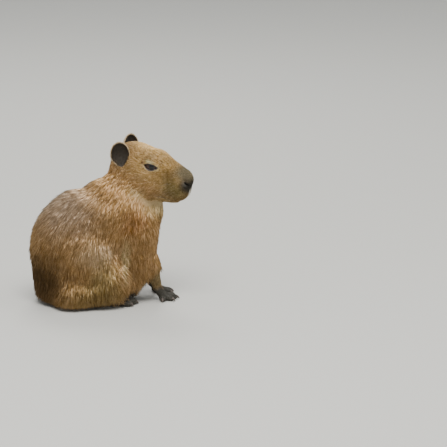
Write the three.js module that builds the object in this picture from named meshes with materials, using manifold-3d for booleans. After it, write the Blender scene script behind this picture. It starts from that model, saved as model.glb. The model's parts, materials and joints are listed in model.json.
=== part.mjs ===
// A young capybara sitting on its haunches, life size, as a still museum model.
// Millimetres. +X is where the chest points, +Y the animal's left, +Z up. The floor is z = 0.
// Its flesh is one smooth field: rounded masses, named after the muscles and bones that they stand for,
// melted into each other. Every sub-part is a capsule laid along a bone, pushed out until it meets that field.
import * as THREE from "three";
import { mergeVertices } from "three/addons/utils/BufferGeometryUtils.js";
import { MeshSurfaceSampler } from "three/addons/math/MeshSurfaceSampler.js";
import Module from "manifold-3d";

const wasm = await Module();
wasm.setup();

// Driving dimensions
const GAP = 0.3; // left between neighbours
const BODY_BLEND = 24; // how far two masses of the trunk melt into each other
const HEAD_BLEND = 9; // the same on the head
const LEG_BLEND = 7; // on the forelegs
const FOOT_BLEND = 4; // and on the feet
const EYE_RADIUS = 15.5;
const LID_THICKNESS = 2.4;
const EAR_HEIGHT = 52;
const EAR_WIDTH = 37;
const EAR_CUP = 12; // how deep the ear's bowl is
const EAR_WALL = 2.6;
const CLAW_LENGTH = 9;
const CLAW_RADIUS = 3.6;
const FINEST = 0.005; // the finest step between two corners
const FAR = 600; // more than the animal's size, for blocks that cut it

// The head's own axes: it is turned to the right and bowed.
const HEAD_TURN = -26;
const HEAD_BOW = 15;
const EYE_LINE = v(83, -25, 279); // midway between the eyes

const COAT = new THREE.MeshStandardMaterial({ color: 0x9a7850, roughness: 0.9, metalness: 0 });
const FACE = new THREE.MeshStandardMaterial({ color: 0xa98350, roughness: 0.85, metalness: 0 });
const BARE = new THREE.MeshStandardMaterial({ color: 0x574d49, roughness: 0.7, metalness: 0 });
const HORN = new THREE.MeshStandardMaterial({ color: 0x3a3330, roughness: 0.4, metalness: 0 });
const EYE = new THREE.MeshStandardMaterial({ color: 0x120d0b, roughness: 0.08, metalness: 0 });

function v(x, y, z) {
  return new THREE.Vector3(x, y, z);
}

const flip = (p, side) => v(p.x, p.y * side, p.z);

const headTurn = new THREE.Matrix4()
  .makeTranslation(EYE_LINE.x, EYE_LINE.y, EYE_LINE.z)
  .multiply(new THREE.Matrix4().makeRotationZ(THREE.MathUtils.degToRad(HEAD_TURN)))
  .multiply(new THREE.Matrix4().makeRotationY(THREE.MathUtils.degToRad(HEAD_BOW)));

// A point given on the head, forward of the eyes, to the left and up.
const onHead = (p) => p.clone().applyMatrix4(headTurn);

// Fields: each is a function of a point that is below zero inside, and about a distance in millimetres.

function ball(centre, radii, turn = new THREE.Matrix4()) {
  const frame = turn.clone().setPosition(centre).invert();
  const q = v(0, 0, 0);
  return (p) => {
    q.copy(p).applyMatrix4(frame).divide(radii);
    const near = q.length();
    const steep = q.divide(radii).length();
    return steep < 1e-9 ? -Math.min(radii.x, radii.y, radii.z) : (near * (near - 1)) / steep;
  };
}

function taper(from, to, fromRadius, toRadius) {
  const along = to.clone().sub(from);
  const q = v(0, 0, 0);
  return (p) => {
    const share = THREE.MathUtils.clamp(q.copy(p).sub(from).dot(along) / along.lengthSq(), 0, 1);
    return q.addScaledVector(along, -share).length() - THREE.MathUtils.lerp(fromRadius, toRadius, share);
  };
}

// The masses as one, with each meeting rounded off.
function melt(blend, fields) {
  return (p) => {
    let all = Infinity;
    for (const field of fields) {
      const d = field(p);
      const mix = Math.max(blend - Math.abs(all - d), 0) / blend;
      all = Math.min(all, d) - (Number.isFinite(mix) ? (mix * mix * blend) / 4 : 0);
    }
    return all;
  };
}

const both = (make) => [make(1), make(-1)];

// The trunk, as the coat's outline

const trunk = [
  ball(v(-62, 0, 106), v(102, 90, 118)), // rump and loins
  ball(v(-84, 0, 48), v(62, 84, 70)), // seat
  ball(v(20, 0, 138), v(70, 70, 96)), // ribs and chest
  ball(v(-6, 0, 78), v(70, 78, 66)), // belly
  ...both((side) => ball(v(28, 40 * side, 152), v(56, 42, 66))), // shoulders
  ...both((side) => ball(v(-22, 32 * side, 148), v(76, 52, 76))), // flanks
  ball(v(-36, 0, 188), v(62, 50, 42)), // withers
];
const neck = [
  taper(v(22, 0, 176), v(40, -4, 256), 66, 47),
  ball(v(-2, -2, 213), v(46, 44, 40)), // nape
  ball(v(80, -10, 189), v(25, 30, 34)), // throat
];
const thighs = both((side) => melt(BODY_BLEND, [
  taper(v(-62, 50 * side, 112), v(-20, 66 * side, 68), 48, 32), // thigh down to the knee
  taper(v(-22, 66 * side, 54), v(-88, 62 * side, 28), 34, 27), // shank back to the heel
]));
const elbows = both((side) => taper(v(34, 44 * side, 140), v(60, 40 * side, 92), 34, 21));

// The head, from sizes given on its own axes

const headMass = (centre, radii) => ball(onHead(centre), radii, turnOnly(headTurn));
const headTaper = (from, to, a, b) => taper(onHead(from), onHead(to), a, b);

function turnOnly(matrix) {
  return new THREE.Matrix4().extractRotation(matrix);
}

const head = [
  headMass(v(-34, 0, -8), v(52, 39, 41)), // skull
  headMass(v(-2, 0, -4), v(42, 33, 34)), // forehead
  headTaper(v(8, 0, 9), v(64, 0, -5), 20, 15), // bridge of the snout
  ...both((side) => headMass(v(50, 10 * side, -28), v(32, 20, 30))), // upper lips
  ...both((side) => headMass(v(65, 7 * side, -36), v(18, 14, 18))), // blunt front of the lips
  headMass(v(71, 0, -13), v(14, 19, 15)), // nose pad
  headMass(v(36, 0, -53), v(36, 22, 15)), // lower jaw
  ...both((side) => headMass(v(-6, 22 * side, -36), v(46, 24, 35))), // cheeks
  headMass(v(-30, 0, -50), v(48, 40, 42)), // throat
  ...both((side) => headMass(v(0, 25 * side, 13), v(19, 9, 6.5))), // brows
];

const bodyField = melt(BODY_BLEND, [...trunk, ...neck, ...thighs, ...elbows]);
const headField = melt(HEAD_BLEND, head);
const flesh = melt(BODY_BLEND * 0.8, [bodyField, headField]);

// Legs and feet, by their joints

const foreleg = (side) => ({
  elbow: v(60, 40 * side, 96),
  knee: v(74, 37 * side, 66),
  wrist: v(87, 32 * side, 24),
  palm: v(99, 30 * side, 8),
  toes: [v(119, 15 * side, 5), v(121, 29 * side, 5), v(111, 43 * side, 5), v(94, 46 * side, 5)],
});

const hindleg = (side) => ({
  heel: v(-92, 60 * side, 13),
  ball: v(-12, 57 * side, 10),
  toes: [v(22, 41 * side, 6), v(32, 56 * side, 6), v(19, 71 * side, 6)],
});

const forelegField = (at) => melt(LEG_BLEND, [
  taper(at.elbow, at.knee, 20, 15),
  taper(at.knee, at.wrist, 15, 9),
]);

const forefootField = (at) => melt(FOOT_BLEND, [
  taper(at.knee, at.wrist, 15, 9),
  taper(at.wrist, at.palm, 9.5, 8.5),
  ...at.toes.map((tip) => taper(at.palm, tip, 7.5, 5.6)),
]);

const hindfootField = (at) => melt(FOOT_BLEND, [
  taper(at.heel, at.ball, 15, 12),
  ...at.toes.map((tip) => taper(at.ball, tip, 11, 7.2)),
]);

// Solids

function solid(geometry) {
  const bare = geometry.clone();
  bare.deleteAttribute("normal");
  bare.deleteAttribute("uv");
  const merged = mergeVertices(bare, 1e-3);
  const corners = merged.index.array;
  const kept = [];
  for (let i = 0; i < corners.length; i += 3) {
    const [a, b, c] = corners.slice(i, i + 3);
    if (a !== b && b !== c && a !== c) kept.push(a, b, c);
  }
  return new wasm.Manifold(new wasm.Mesh({
    numProp: 3,
    vertProperties: merged.attributes.position.array,
    triVerts: new Uint32Array(kept),
  }));
}

// How far a ray from inside goes before it leaves the field.
function reach(field, start, direction) {
  const p = v(0, 0, 0);
  const at = (t) => field(p.copy(start).addScaledVector(direction, t));
  let near = 0;
  let depth = at(near);
  let far = near;
  while (depth < 0 && far < FAR) {
    near = far;
    far += Math.max(-depth * 0.6, 0.4);
    depth = at(far);
  }
  for (let i = 0; i < 24; i += 1) {
    const middle = (near + far) / 2;
    if (at(middle) < 0) near = middle;
    else far = middle;
  }
  return far;
}

// A capsule laid along a bone, each point pushed out to the field's surface.
function wrap(field, from, to, { rings, sides, ends, grow = 0, up = v(0, 0, 1) }) {
  const bone = to.clone().sub(from);
  const shape = new THREE.CapsuleGeometry(1, bone.length(), ends, sides, rings);
  const along = bone.clone().normalize();
  const across = up.clone().cross(along).normalize();
  const frame = new THREE.Matrix4().makeBasis(across, along, across.clone().cross(along));
  shape.applyMatrix4(frame.setPosition(from.clone().add(to).multiplyScalar(0.5)));
  const grown = (p) => field(p) - grow;
  const points = shape.attributes.position;
  for (let i = 0; i < points.count; i += 1) {
    const p = v(0, 0, 0).fromBufferAttribute(points, i);
    const share = THREE.MathUtils.clamp(p.clone().sub(from).dot(bone) / bone.lengthSq(), 0, 1);
    const foot = from.clone().addScaledVector(bone, share);
    const direction = p.sub(foot).normalize();
    foot.addScaledVector(direction, reach(grown, foot, direction));
    points.setXYZ(i, foot.x, foot.y, foot.z);
  }
  return solid(shape);
}

// Everything on the side of a plane that its normal points to.
function beyond(point, normal, gap = 0) {
  const block = new THREE.BoxGeometry(FAR, FAR, FAR).translate(0, 0, FAR / 2 + gap);
  const turn = new THREE.Quaternion().setFromUnitVectors(v(0, 0, 1), normal);
  return solid(block.applyQuaternion(turn).translate(point.x, point.y, point.z));
}

const planeField = (point, normal) => (p) => -p.clone().sub(point).dot(normal);
const overlap = (...fields) => (p) => Math.max(...fields.map((field) => field(p)));

function ellipsoid(centre, radii, grow = 0, sides = 22, rings = 13) {
  const shape = new THREE.SphereGeometry(1, sides, rings);
  shape.scale(radii.x + grow, radii.y + grow, radii.z + grow);
  return solid(shape.translate(centre.x, centre.y, centre.z));
}

// The largest closed surface of a solid, as a geometry. Corners closer than the finest step become one,
// which closes up slivers left where two forms cross, and two faces pressed flat on each other both go.
function geometryOf(made) {
  const biggest = made.decompose().reduce((a, b) => (a.volume() > b.volume() ? a : b));
  const mesh = biggest.getMesh();
  const places = new Map();
  const positions = [];
  const corner = Array.from({ length: mesh.vertProperties.length / 3 }, (_, i) => {
    const snapped = [0, 1, 2].map((k) => Math.round(mesh.vertProperties[3 * i + k] / FINEST) * FINEST);
    const key = snapped.map((x) => x.toFixed(4)).join(" ");
    if (!places.has(key)) {
      places.set(key, places.size);
      positions.push(...snapped);
    }
    return places.get(key);
  });
  const faces = new Map();
  for (let i = 0; i < mesh.triVerts.length; i += 3) {
    const face = [0, 1, 2].map((k) => corner[mesh.triVerts[i + k]]);
    const key = face.slice().sort((a, b) => a - b).join(" ");
    if (new Set(face).size < 3) continue;
    if (faces.has(key)) faces.delete(key);
    else faces.set(key, face);
  }
  return new THREE.BufferGeometry()
    .setAttribute("position", new THREE.BufferAttribute(new Float32Array(positions), 3))
    .setIndex(Array.from(faces.values()).flat());
}

// Where one sub-part ends and the next begins

const headBack = onHead(v(-28, 0, -32));
const headWay = onHead(v(-28 + 0.6, 0, -32 + 0.8)).sub(headBack).normalize();
const neckBase = v(35, 0, 206);
const neckWay = v(0.46, 0, 0.888).normalize();
const haunchCentre = (side) => v(-50, 96 * side, 74);
const HAUNCH_RADII = v(70, 44, 84);
const MARGIN = 18; // how far a surface is carried past its cut before it is trimmed
const THROAT_MARGIN = 6; // less behind the jaw, where the throat hollows in

const floor = beyond(v(0, 0, 0), v(0, 0, -1));
const headSide = (gap) => beyond(headBack, headWay, gap);
const neckSide = (gap) => beyond(neckBase, neckWay, gap);
const past = (point, way, margin = MARGIN) => planeField(point.clone().addScaledVector(way, -margin), way);
const before = (point, way) => past(point, way.clone().negate());

// Feet

function forefoot(at, grow = 0) {
  const way = at.wrist.clone().sub(at.knee).normalize();
  const whole = wasm.Manifold.union([
    wrap(overlap(forefootField({ ...at, toes: [] }), past(at.wrist, way)), at.wrist, at.palm,
      { rings: 2, sides: 12, ends: 3, grow }),
    ...at.toes.map((tip) => wrap(taper(at.palm, tip, 7.5, 5.6), at.palm, tip,
      { rings: 1, sides: 8, ends: 2, grow })),
  ]);
  return whole.intersect(beyond(at.wrist, way, GAP / 2 - grow));
}

function hindfoot(at, grow = 0) {
  return wasm.Manifold.union([
    wrap(hindfootField({ ...at, toes: [] }), at.heel, at.ball, { rings: 4, sides: 12, ends: 3, grow }),
    ...at.toes.map((tip) => wrap(taper(at.ball, tip, 11, 7.2), at.ball, tip,
      { rings: 1, sides: 9, ends: 2, grow })),
  ]);
}

// A blunt claw, its root sunk in the end of a toe.
function claw(root, tip, radius, grow = 0) {
  const way = tip.clone().sub(root).setZ(0).normalize();
  const start = tip.clone().addScaledVector(way, 2.5);
  const end = start.clone().addScaledVector(way, CLAW_LENGTH);
  end.z = Math.max(2, tip.z - 4);
  const along = end.clone().sub(start);
  const shape = new THREE.CylinderGeometry(radius * 0.3, radius, along.length(), 6, 2);
  const points = shape.attributes.position;
  for (let i = 0; i < points.count; i += 1) {
    const share = points.getY(i) / along.length();
    const swell = Math.abs(share) < 0.1 ? 1.16 : 1;
    const width = 1 + grow / radius;
    points.setXYZ(i, points.getX(i) * swell * width, points.getY(i) * (1 + 2 * grow / CLAW_LENGTH),
      points.getZ(i) * swell * 0.85 * width);
  }
  shape.applyQuaternion(new THREE.Quaternion().setFromUnitVectors(v(0, 1, 0), along.clone().normalize()));
  const middle = start.add(end).multiplyScalar(0.5);
  return solid(shape.translate(middle.x, middle.y, middle.z));
}

// Legs

function forelegSolid(at, grow = 0) {
  const way = at.wrist.clone().sub(at.knee).normalize();
  return wrap(overlap(forelegField(at), before(at.wrist, way)), at.elbow, at.wrist,
    { rings: 5, sides: 12, ends: 3, grow }).subtract(beyond(at.wrist, way, -GAP / 2 + grow));
}

// The haunch's own share of the trunk
function haunchCore(side, inset) {
  const region = ball(haunchCentre(side), HAUNCH_RADII.clone().addScalar(MARGIN));
  return wrap(overlap((p) => flesh(p) + inset(p), region), v(-78, 74 * side, 84), v(-24, 76 * side, 70),
    { rings: 3, sides: 20, ends: 5 }).intersect(ellipsoid(haunchCentre(side), HAUNCH_RADII, -GAP / 2));
}

function torsoCore(inset, grow = 0) {
  return wrap(overlap((p) => flesh(p) + inset(p), before(neckBase, neckWay)), v(-78, 0, 92), v(8, 0, 134),
    { rings: 4, sides: 26, ends: 6, grow });
}

function neckCore(inset) {
  const between = overlap((p) => flesh(p) + inset(p), past(neckBase, neckWay), before(headBack, headWay));
  return wrap(between, v(8, 0, 232), v(60, -12, 214), { rings: 3, sides: 22, ends: 4 })
    .intersect(neckSide(GAP / 2))
    .subtract(headSide(-GAP / 2));
}

// The coat: flat locks, each rooted below the core, laid along the hair and ending at the coat's outline

const CORE_DEPTH = 4.5; // from the coat's outline in to the core
const ROOT_DEPTH = 5; // and on to the roots
const LOCK_LENGTH = 58;
const LOCK_WIDTH = 34;
const LOCK_SPACING = 34.5;
const LOCK_RINGS = [
  // share of the length, depth below the outline, share of the width, height of the ridge
  [0, CORE_DEPTH + ROOT_DEPTH, 0.6, 1.5],
  [0.3, 5.2, 1, 3.2],
  [0.62, 3.4, 0.95, 2.6],
  [0.86, 2.2, 0.6, 1.6],
];

// Small differences from lock to lock come from one seeded row of numbers.
let seed = 20251;
function draw() {
  seed = (Math.imul(seed, 1664525) + 1013904223) >>> 0;
  return seed / 2 ** 32;
}

function slope(field, p) {
  const step = 0.5;
  const along = (axis) => {
    const ahead = p.clone().addScaledVector(axis, step);
    const behind = p.clone().addScaledVector(axis, -step);
    return (field(ahead) - field(behind)) / (2 * step);
  };
  return v(along(v(1, 0, 0)), along(v(0, 1, 0)), along(v(0, 0, 1))).normalize();
}

// The hair hangs down, and back along the loins.
function lie(p, normal) {
  const hang = v(-0.1 - 0.3 * THREE.MathUtils.smoothstep(p.z, 80, 200), 0, -1);
  return hang.addScaledVector(normal, -hang.dot(normal)).normalize();
}

const atDepth = (p, depth) => {
  const q = p.clone();
  for (let i = 0; i < 3; i += 1) q.addScaledVector(slope(flesh, q), -flesh(q) - depth);
  return q;
};

function lock(root) {
  const length = LOCK_LENGTH * (0.85 + 0.3 * draw());
  const width = LOCK_WIDTH * (0.85 + 0.3 * draw());
  const sway = 0.24 * (draw() - 0.5);
  const points = [];
  let p = root.clone();
  let travelled = 0;
  const walkTo = (share) => {
    while (travelled < share * length - 0.01) {
      const step = Math.min(6, share * length - travelled);
      const normal = slope(flesh, p);
      const way = lie(p, normal).addScaledVector(normal.clone().cross(lie(p, normal)), sway).normalize();
      p = atDepth(p.addScaledVector(way, step), 0);
      travelled += step;
    }
    const normal = slope(flesh, p);
    return { normal, across: normal.clone().cross(lie(p, normal)).normalize() };
  };
  for (const [share, depth, part, ridge] of LOCK_RINGS) {
    const { normal, across } = walkTo(share);
    const middle = p.clone().addScaledVector(normal, -depth);
    points.push(middle.clone().addScaledVector(across, (width * part) / 2));
    points.push(middle.clone().addScaledVector(normal, ridge));
    points.push(middle.clone().addScaledVector(across, (-width * part) / 2));
  }
  walkTo(1);
  const tip = points.push(p.clone()) - 1;
  const faces = [0, 2, 1];
  for (let ring = 0; ring < LOCK_RINGS.length - 1; ring += 1) {
    for (let k = 0; k < 3; k += 1) {
      const [a, b] = [ring * 3 + k, ring * 3 + ((k + 1) % 3)];
      faces.push(a, b, a + 3, b, b + 3, a + 3);
    }
  }
  for (let k = 0; k < 3; k += 1) faces.push(tip - 3 + k, tip - 3 + ((k + 1) % 3), tip);
  const shape = new THREE.BufferGeometry().setFromPoints(points);
  shape.setIndex(faces);
  return solid(shape);
}

// Locks rooted evenly over the outer surface of a form, where the rule lets them grow.
function locks(form, grows) {
  const sampler = new MeshSurfaceSampler(new THREE.Mesh(geometryOf(form), COAT));
  sampler.setRandomGenerator(draw).build();
  const roots = [];
  const p = v(0, 0, 0);
  for (let i = 0; i < 1500; i += 1) {
    sampler.sample(p);
    const clear = roots.every((root) => root.distanceTo(p) > LOCK_SPACING);
    if (clear && Math.abs(flesh(p)) < 2 && grows(p)) roots.push(p.clone());
  }
  return roots.map((root) => lock(atDepth(root, 0)));
}

// The core thins the coat away towards the short hair of the face.
const coatDepth = (p) => {
  const toHead = -planeField(headBack, headWay)(p);
  return CORE_DEPTH * THREE.MathUtils.smoothstep(-toHead, -4, 34);
};
const growsHair = (p) => p.z > 34 && coatDepth(p) > CORE_DEPTH * 0.8 && slope(flesh, p).z > -0.55;

// The head

function headWhole(grow = 0) {
  return wrap(overlap(flesh, past(headBack, headWay, THROAT_MARGIN)), onHead(v(-40, 0, -18)), onHead(v(54, 0, -28)),
    { rings: 10, sides: 32, ends: 8, grow, up: onHead(v(0, 0, 1)).sub(EYE_LINE) });
}

const eyeCentre = (side) => v(0, 23 * side, 1);

// The opening between the lids: a half moon, straight above and round below, run out sideways.
function lidOpening(side) {
  const outline = new THREE.Shape();
  outline.moveTo(-15, -0.5);
  outline.quadraticCurveTo(-1, 11.5, 15, 1);
  outline.quadraticCurveTo(0, -15.5, -15, -0.5);
  const cut = new THREE.ExtrudeGeometry(outline, { depth: 60, bevelEnabled: false, curveSegments: 7 });
  cut.rotateX(Math.PI / 2);
  if (side > 0) cut.translate(0, 60, 0);
  return cut.translate(0, 0, 1);
}

function eyeball(side, grow = 0) {
  const shape = new THREE.IcosahedronGeometry(EYE_RADIUS + grow, 2);
  const at = eyeCentre(side);
  return solid(shape.translate(at.x, at.y, at.z).applyMatrix4(headTurn));
}

function nostril(side) {
  const shape = new THREE.SphereGeometry(1, 12, 8).scale(4, 6, 6.5);
  return solid(shape.rotateX(0.35 * side).translate(75, 16 * side, -15).applyMatrix4(headTurn));
}

// A wedge pressed into the muzzle where the lips meet.
function mouthLine() {
  const width = 2.4;
  const depth = 40;
  const bend = [v(30, 0, -51), v(50, 0, -57), v(76, 0, -54), v(98, 0, -46)];
  const path = new THREE.CatmullRomCurve3(bend).getPoints(10);
  const rim = new THREE.Shape([
    ...path.map((p) => new THREE.Vector2(p.x, p.z + width / 2)),
    ...path.reverse().map((p) => new THREE.Vector2(p.x, p.z - width / 2)),
  ]);
  const shape = new THREE.ExtrudeGeometry(rim, { depth: 2 * depth, bevelEnabled: false });
  return solid(shape.rotateX(Math.PI / 2).translate(0, depth, 0).applyMatrix4(headTurn));
}

// The middle of the muzzle stays whole behind the lips, so that the mouth is only a crease.
function mouthCore(grow) {
  return wrap((p) => headField(p) + 4, onHead(v(-20, 0, -25)), onHead(v(54, 0, -28)),
    { rings: 6, sides: 20, ends: 6, grow, up: onHead(v(0, 0, 1)).sub(EYE_LINE) });
}

function headSolid() {
  const eyes = both((side) => eyeball(side, LID_THICKNESS));
  const openings = both((side) => solid(lidOpening(side).applyMatrix4(headTurn)));
  const sockets = both((side) => eyeball(side, GAP));
  const crease = mouthLine().subtract(mouthCore(0));
  return headWhole()
    .add(wasm.Manifold.union(eyes))
    .subtract(wasm.Manifold.union([...openings, ...sockets, ...both(nostril), crease]))
    .intersect(headSide(GAP / 2));
}

// Ears

// A bowl turned on a lathe, then drawn out to the ear's outline. The left ear is pricked forward, and hangs
// lower with the head's slight roll; the right one faces out.
function ear(side) {
  const wall = EAR_WALL / EAR_CUP;
  const profile = [
    [0, -1 - wall], [0.45, -0.92 - wall], [0.8, -0.5 - wall], [0.98, -0.12], [1, 0.05],
    [0.9, 0], [0.72, -0.5], [0.42, -0.86], [0, -0.95],
  ].map(([x, y]) => new THREE.Vector2(x, y));
  const shape = new THREE.LatheGeometry(profile, 18);
  const points = shape.attributes.position;
  for (let i = 0; i < points.count; i += 1) {
    const across = points.getX(i);
    const up = points.getZ(i);
    const low = Math.max(0, -up);
    const narrow = 1 - 0.42 * low * low;
    const notch = 1 - 0.1 * Math.exp(-((up - 0.1) ** 2) / 0.05) * Math.max(0, -across);
    points.setXYZ(i, across * narrow * notch * EAR_WIDTH / 2, points.getY(i) * EAR_CUP * (1 - 0.2 * up),
      up * EAR_HEIGHT / 2);
  }
  const upward = v(-0.34, 0.2 * side, 0.92).normalize();
  const outward = side > 0 ? v(0.7, -0.58, 0.3) : v(0.42, -0.88, 0.06);
  outward.addScaledVector(upward, -outward.dot(upward)).normalize();
  const across = outward.clone().cross(upward);
  const frame = new THREE.Matrix4().makeBasis(across, outward, upward);
  frame.setPosition(v(-63, 45 * side, side > 0 ? 5 : 7.3));
  const blade = solid(shape.applyMatrix4(frame).applyMatrix4(headTurn));
  const base = onHead(v(-52, 28 * side, -8));
  const top = onHead(v(-64, 36 * side, 5));
  const stem = wrap(taper(base, top, 11, 8), base, top, { rings: 1, sides: 12, ends: 3 });
  return blade.add(stem);
}

// Assembly

const group = new THREE.Group();

function place(name, made, material) {
  const mesh = new THREE.Mesh(geometryOf(made), material);
  mesh.name = name;
  group.add(mesh);
}

const none = () => 0;
const sides = { left: 1, right: -1 };
const hindfeet = Object.fromEntries(Object.entries(sides).map(([name, side]) => [name, hindleg(side)]));
const forelegs = Object.fromEntries(Object.entries(sides).map(([name, side]) => [name, foreleg(side)]));
const headRoom = headWhole(GAP);
const neckRoom = neckCore(() => -GAP);

const coated = (bare, form, grows = growsHair) => wasm.Manifold.union([bare, ...locks(form, grows)]);
let torso = coated(torsoCore(coatDepth), torsoCore(none))
  .subtract(neckSide(-GAP / 2))
  .subtract(floor);
for (const [name, side] of Object.entries(sides)) {
  torso = torso
    .subtract(ellipsoid(haunchCentre(side), HAUNCH_RADII, GAP / 2))
    .subtract(hindfoot(hindfeet[name], GAP))
    .subtract(forelegSolid(forelegs[name], GAP));
}
place("torso", torso, COAT);
const nape = coated(neckCore(coatDepth), neckCore(none))
  .intersect(neckSide(GAP / 2))
  .subtract(headSide(-GAP / 2));
place("neck", nape, COAT);
place("head", headSolid(), FACE);

for (const [name, side] of Object.entries(sides)) {
  place(`eye_${name}`, eyeball(side), EYE);
  place(`ear_${name}`, ear(side).subtract(headRoom).subtract(neckRoom), BARE);
  const haunch = coated(haunchCore(side, coatDepth), haunchCore(side, none))
    .intersect(ellipsoid(haunchCentre(side), HAUNCH_RADII, -GAP / 2))
    .subtract(hindfoot(hindfeet[name], GAP))
    .subtract(floor);
  place(`haunch_${name}`, haunch, COAT);
  place(`foreleg_${name}`, forelegSolid(forelegs[name]), FACE);

  const clawsOf = (at, root, radius, grow = 0) =>
    at.toes.map((tip) => claw(root, tip, radius, grow));
  const front = clawsOf(forelegs[name], forelegs[name].palm, CLAW_RADIUS);
  const back = clawsOf(hindfeet[name], hindfeet[name].ball, CLAW_RADIUS * 1.25);
  const frontHole = wasm.Manifold.union(clawsOf(forelegs[name], forelegs[name].palm, CLAW_RADIUS, GAP));
  const backHole = wasm.Manifold.union(clawsOf(hindfeet[name], hindfeet[name].ball, CLAW_RADIUS * 1.25, GAP));
  place(`forefoot_${name}`, forefoot(forelegs[name]).subtract(frontHole).subtract(floor), BARE);
  place(`hindfoot_${name}`, hindfoot(hindfeet[name]).subtract(backHole).subtract(floor), BARE);
  front.forEach((made, i) => place(`claw_fore_${name}_${i + 1}`, made.subtract(floor), HORN));
  back.forEach((made, i) => place(`claw_hind_${name}_${i + 1}`, made.subtract(floor), HORN));
}

// The origin is on the floor, under the middle of the animal's box.
const box = new THREE.Box3().setFromObject(group);
const middle = box.getCenter(v(0, 0, 0));
group.position.set(-middle.x, -middle.y, 0);

export default group;
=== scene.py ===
# %% [markdown]
# # A young capybara, dressed in its coat
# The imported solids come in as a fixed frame. They give each part's place and size, and this lesson gives
# the animal what they can't: one seamless skin, thousands of tufts of coarse hair, lids, wet eyes and horny
# claws. Lengths in the text are millimetres on the real animal, and metres once they reach Blender.

import json
import math

import bmesh
import bpy
import numpy as np
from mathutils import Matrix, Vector

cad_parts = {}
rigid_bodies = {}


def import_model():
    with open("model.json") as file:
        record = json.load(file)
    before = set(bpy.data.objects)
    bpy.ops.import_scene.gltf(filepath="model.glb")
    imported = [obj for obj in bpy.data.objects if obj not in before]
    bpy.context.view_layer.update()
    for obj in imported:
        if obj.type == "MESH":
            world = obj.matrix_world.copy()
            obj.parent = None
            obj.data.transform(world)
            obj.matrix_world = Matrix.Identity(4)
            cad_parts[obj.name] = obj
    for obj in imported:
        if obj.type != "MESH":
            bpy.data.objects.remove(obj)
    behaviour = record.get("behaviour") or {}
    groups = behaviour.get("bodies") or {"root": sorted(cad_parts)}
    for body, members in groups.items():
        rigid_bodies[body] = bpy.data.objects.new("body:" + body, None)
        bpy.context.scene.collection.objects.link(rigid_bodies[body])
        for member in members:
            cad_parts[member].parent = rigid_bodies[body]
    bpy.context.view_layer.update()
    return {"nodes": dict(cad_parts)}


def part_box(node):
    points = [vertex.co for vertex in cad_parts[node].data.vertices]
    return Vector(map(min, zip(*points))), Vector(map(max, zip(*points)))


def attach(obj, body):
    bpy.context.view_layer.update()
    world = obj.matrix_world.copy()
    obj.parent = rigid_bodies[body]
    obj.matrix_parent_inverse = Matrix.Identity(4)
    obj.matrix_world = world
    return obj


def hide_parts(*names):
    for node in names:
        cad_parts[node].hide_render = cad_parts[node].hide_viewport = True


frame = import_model()
MM = 0.001
print("nodes in the frame:", len(frame["nodes"]))

# %% [markdown]
# ## Where things are
# The animal is described on its own axes: +X where the chest points, +Y its left, +Z up, with the floor at
# zero. The frame's origin is under the middle of its box instead, so the right eye tells how far one is
# from the other. The head has axes of its own, since it is turned to the right and bowed: they run forward,
# to the left and up from a point midway between the eyes.

# %% The head's axes and the shift between the two frames
HEAD_TURN = math.radians(-26)
HEAD_BOW = math.radians(15)
EYE_LINE = np.array([83.0, -25.0, 279.0])
EYE_RADIUS = 15.5
EYE_SIDE = 23.0
EYE_RISE = 1.0

cos_t, sin_t, cos_b, sin_b = math.cos(HEAD_TURN), math.sin(HEAD_TURN), math.cos(HEAD_BOW), math.sin(HEAD_BOW)
FORWARD = np.array([cos_t * cos_b, sin_t * cos_b, -sin_b])
LEFTWARD = np.array([-sin_t, cos_t, 0.0])
UPWARD = np.array([cos_t * sin_b, sin_t * sin_b, cos_b])
HEAD_AXES = np.stack([FORWARD, LEFTWARD, UPWARD], axis=1)


def on_head(*p):
    return EYE_LINE + HEAD_AXES @ np.array(p, float)


low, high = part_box("eye_right")
SHIFT = (np.array(low) + np.array(high)) / 2 / MM - on_head(0, -EYE_SIDE, EYE_RISE)
SHIFT[2] = 0.0
print("shift of the animal's axes, mm:", SHIFT.round(2))


def to_frame(points):
    """Points on the animal's own axes, in millimetres, as places in the frame."""
    return (np.asarray(points, float) + SHIFT) * MM


# %% [markdown]
# ## The flesh as a field
# A body like this has no straight line to extrude, and a subdivided cage is hard to keep smooth where a leg
# leaves it. So each muscle mass is a rounded form, and the forms melt into each other. A form is a function
# of a point: below zero inside, and about the distance to its surface. The same masses are in the solids, so
# the skin lies where they do, less the depth of the coat.

# %% Rounded forms and how they melt together


def ball(centre, radii, axes=None):
    centre, radii = np.array(centre, float), np.array(radii, float)

    def field(p):
        q = (p - centre) @ axes if axes is not None else p - centre
        q = q / radii
        near = np.sqrt((q * q).sum(-1))
        q = q / radii
        steep = np.sqrt((q * q).sum(-1))
        return near * (near - 1) / np.maximum(steep, 1e-9)

    return field


def taper(start, end, start_radius, end_radius):
    start, end = np.array(start, float), np.array(end, float)
    along = end - start

    def field(p):
        share = np.clip(((p - start) @ along) / (along @ along), 0, 1)
        q = p - start - share[..., None] * along
        return np.sqrt((q * q).sum(-1)) - (start_radius + (end_radius - start_radius) * share)

    return field


def join(blend, a, b):
    """Two distances as one, with their meeting rounded off."""
    mix = np.maximum(blend - np.abs(a - b), 0) / blend
    return np.minimum(a, b) - mix * mix * blend / 4


def melt(blend, fields):
    def field(p):
        total = fields[0](p)
        for one in fields[1:]:
            total = join(blend, total, one(p))
        return total

    return field


def carve(blend, kept, cut):
    """What is left of a distance once a form is cut from it, with a rounded edge."""
    mix = np.maximum(blend - np.abs(kept + cut), 0) / blend
    return np.maximum(kept, -cut) + mix * mix * blend / 4


def ramp(low, high, x):
    """0 at one end, 1 at the other, and an even curve between them."""
    t = np.clip((x - low) / (high - low), 0, 1)
    return t * t * (3 - 2 * t)


def unit(a):
    return a / np.maximum(np.linalg.norm(a, axis=-1, keepdims=True), 1e-9)


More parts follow.
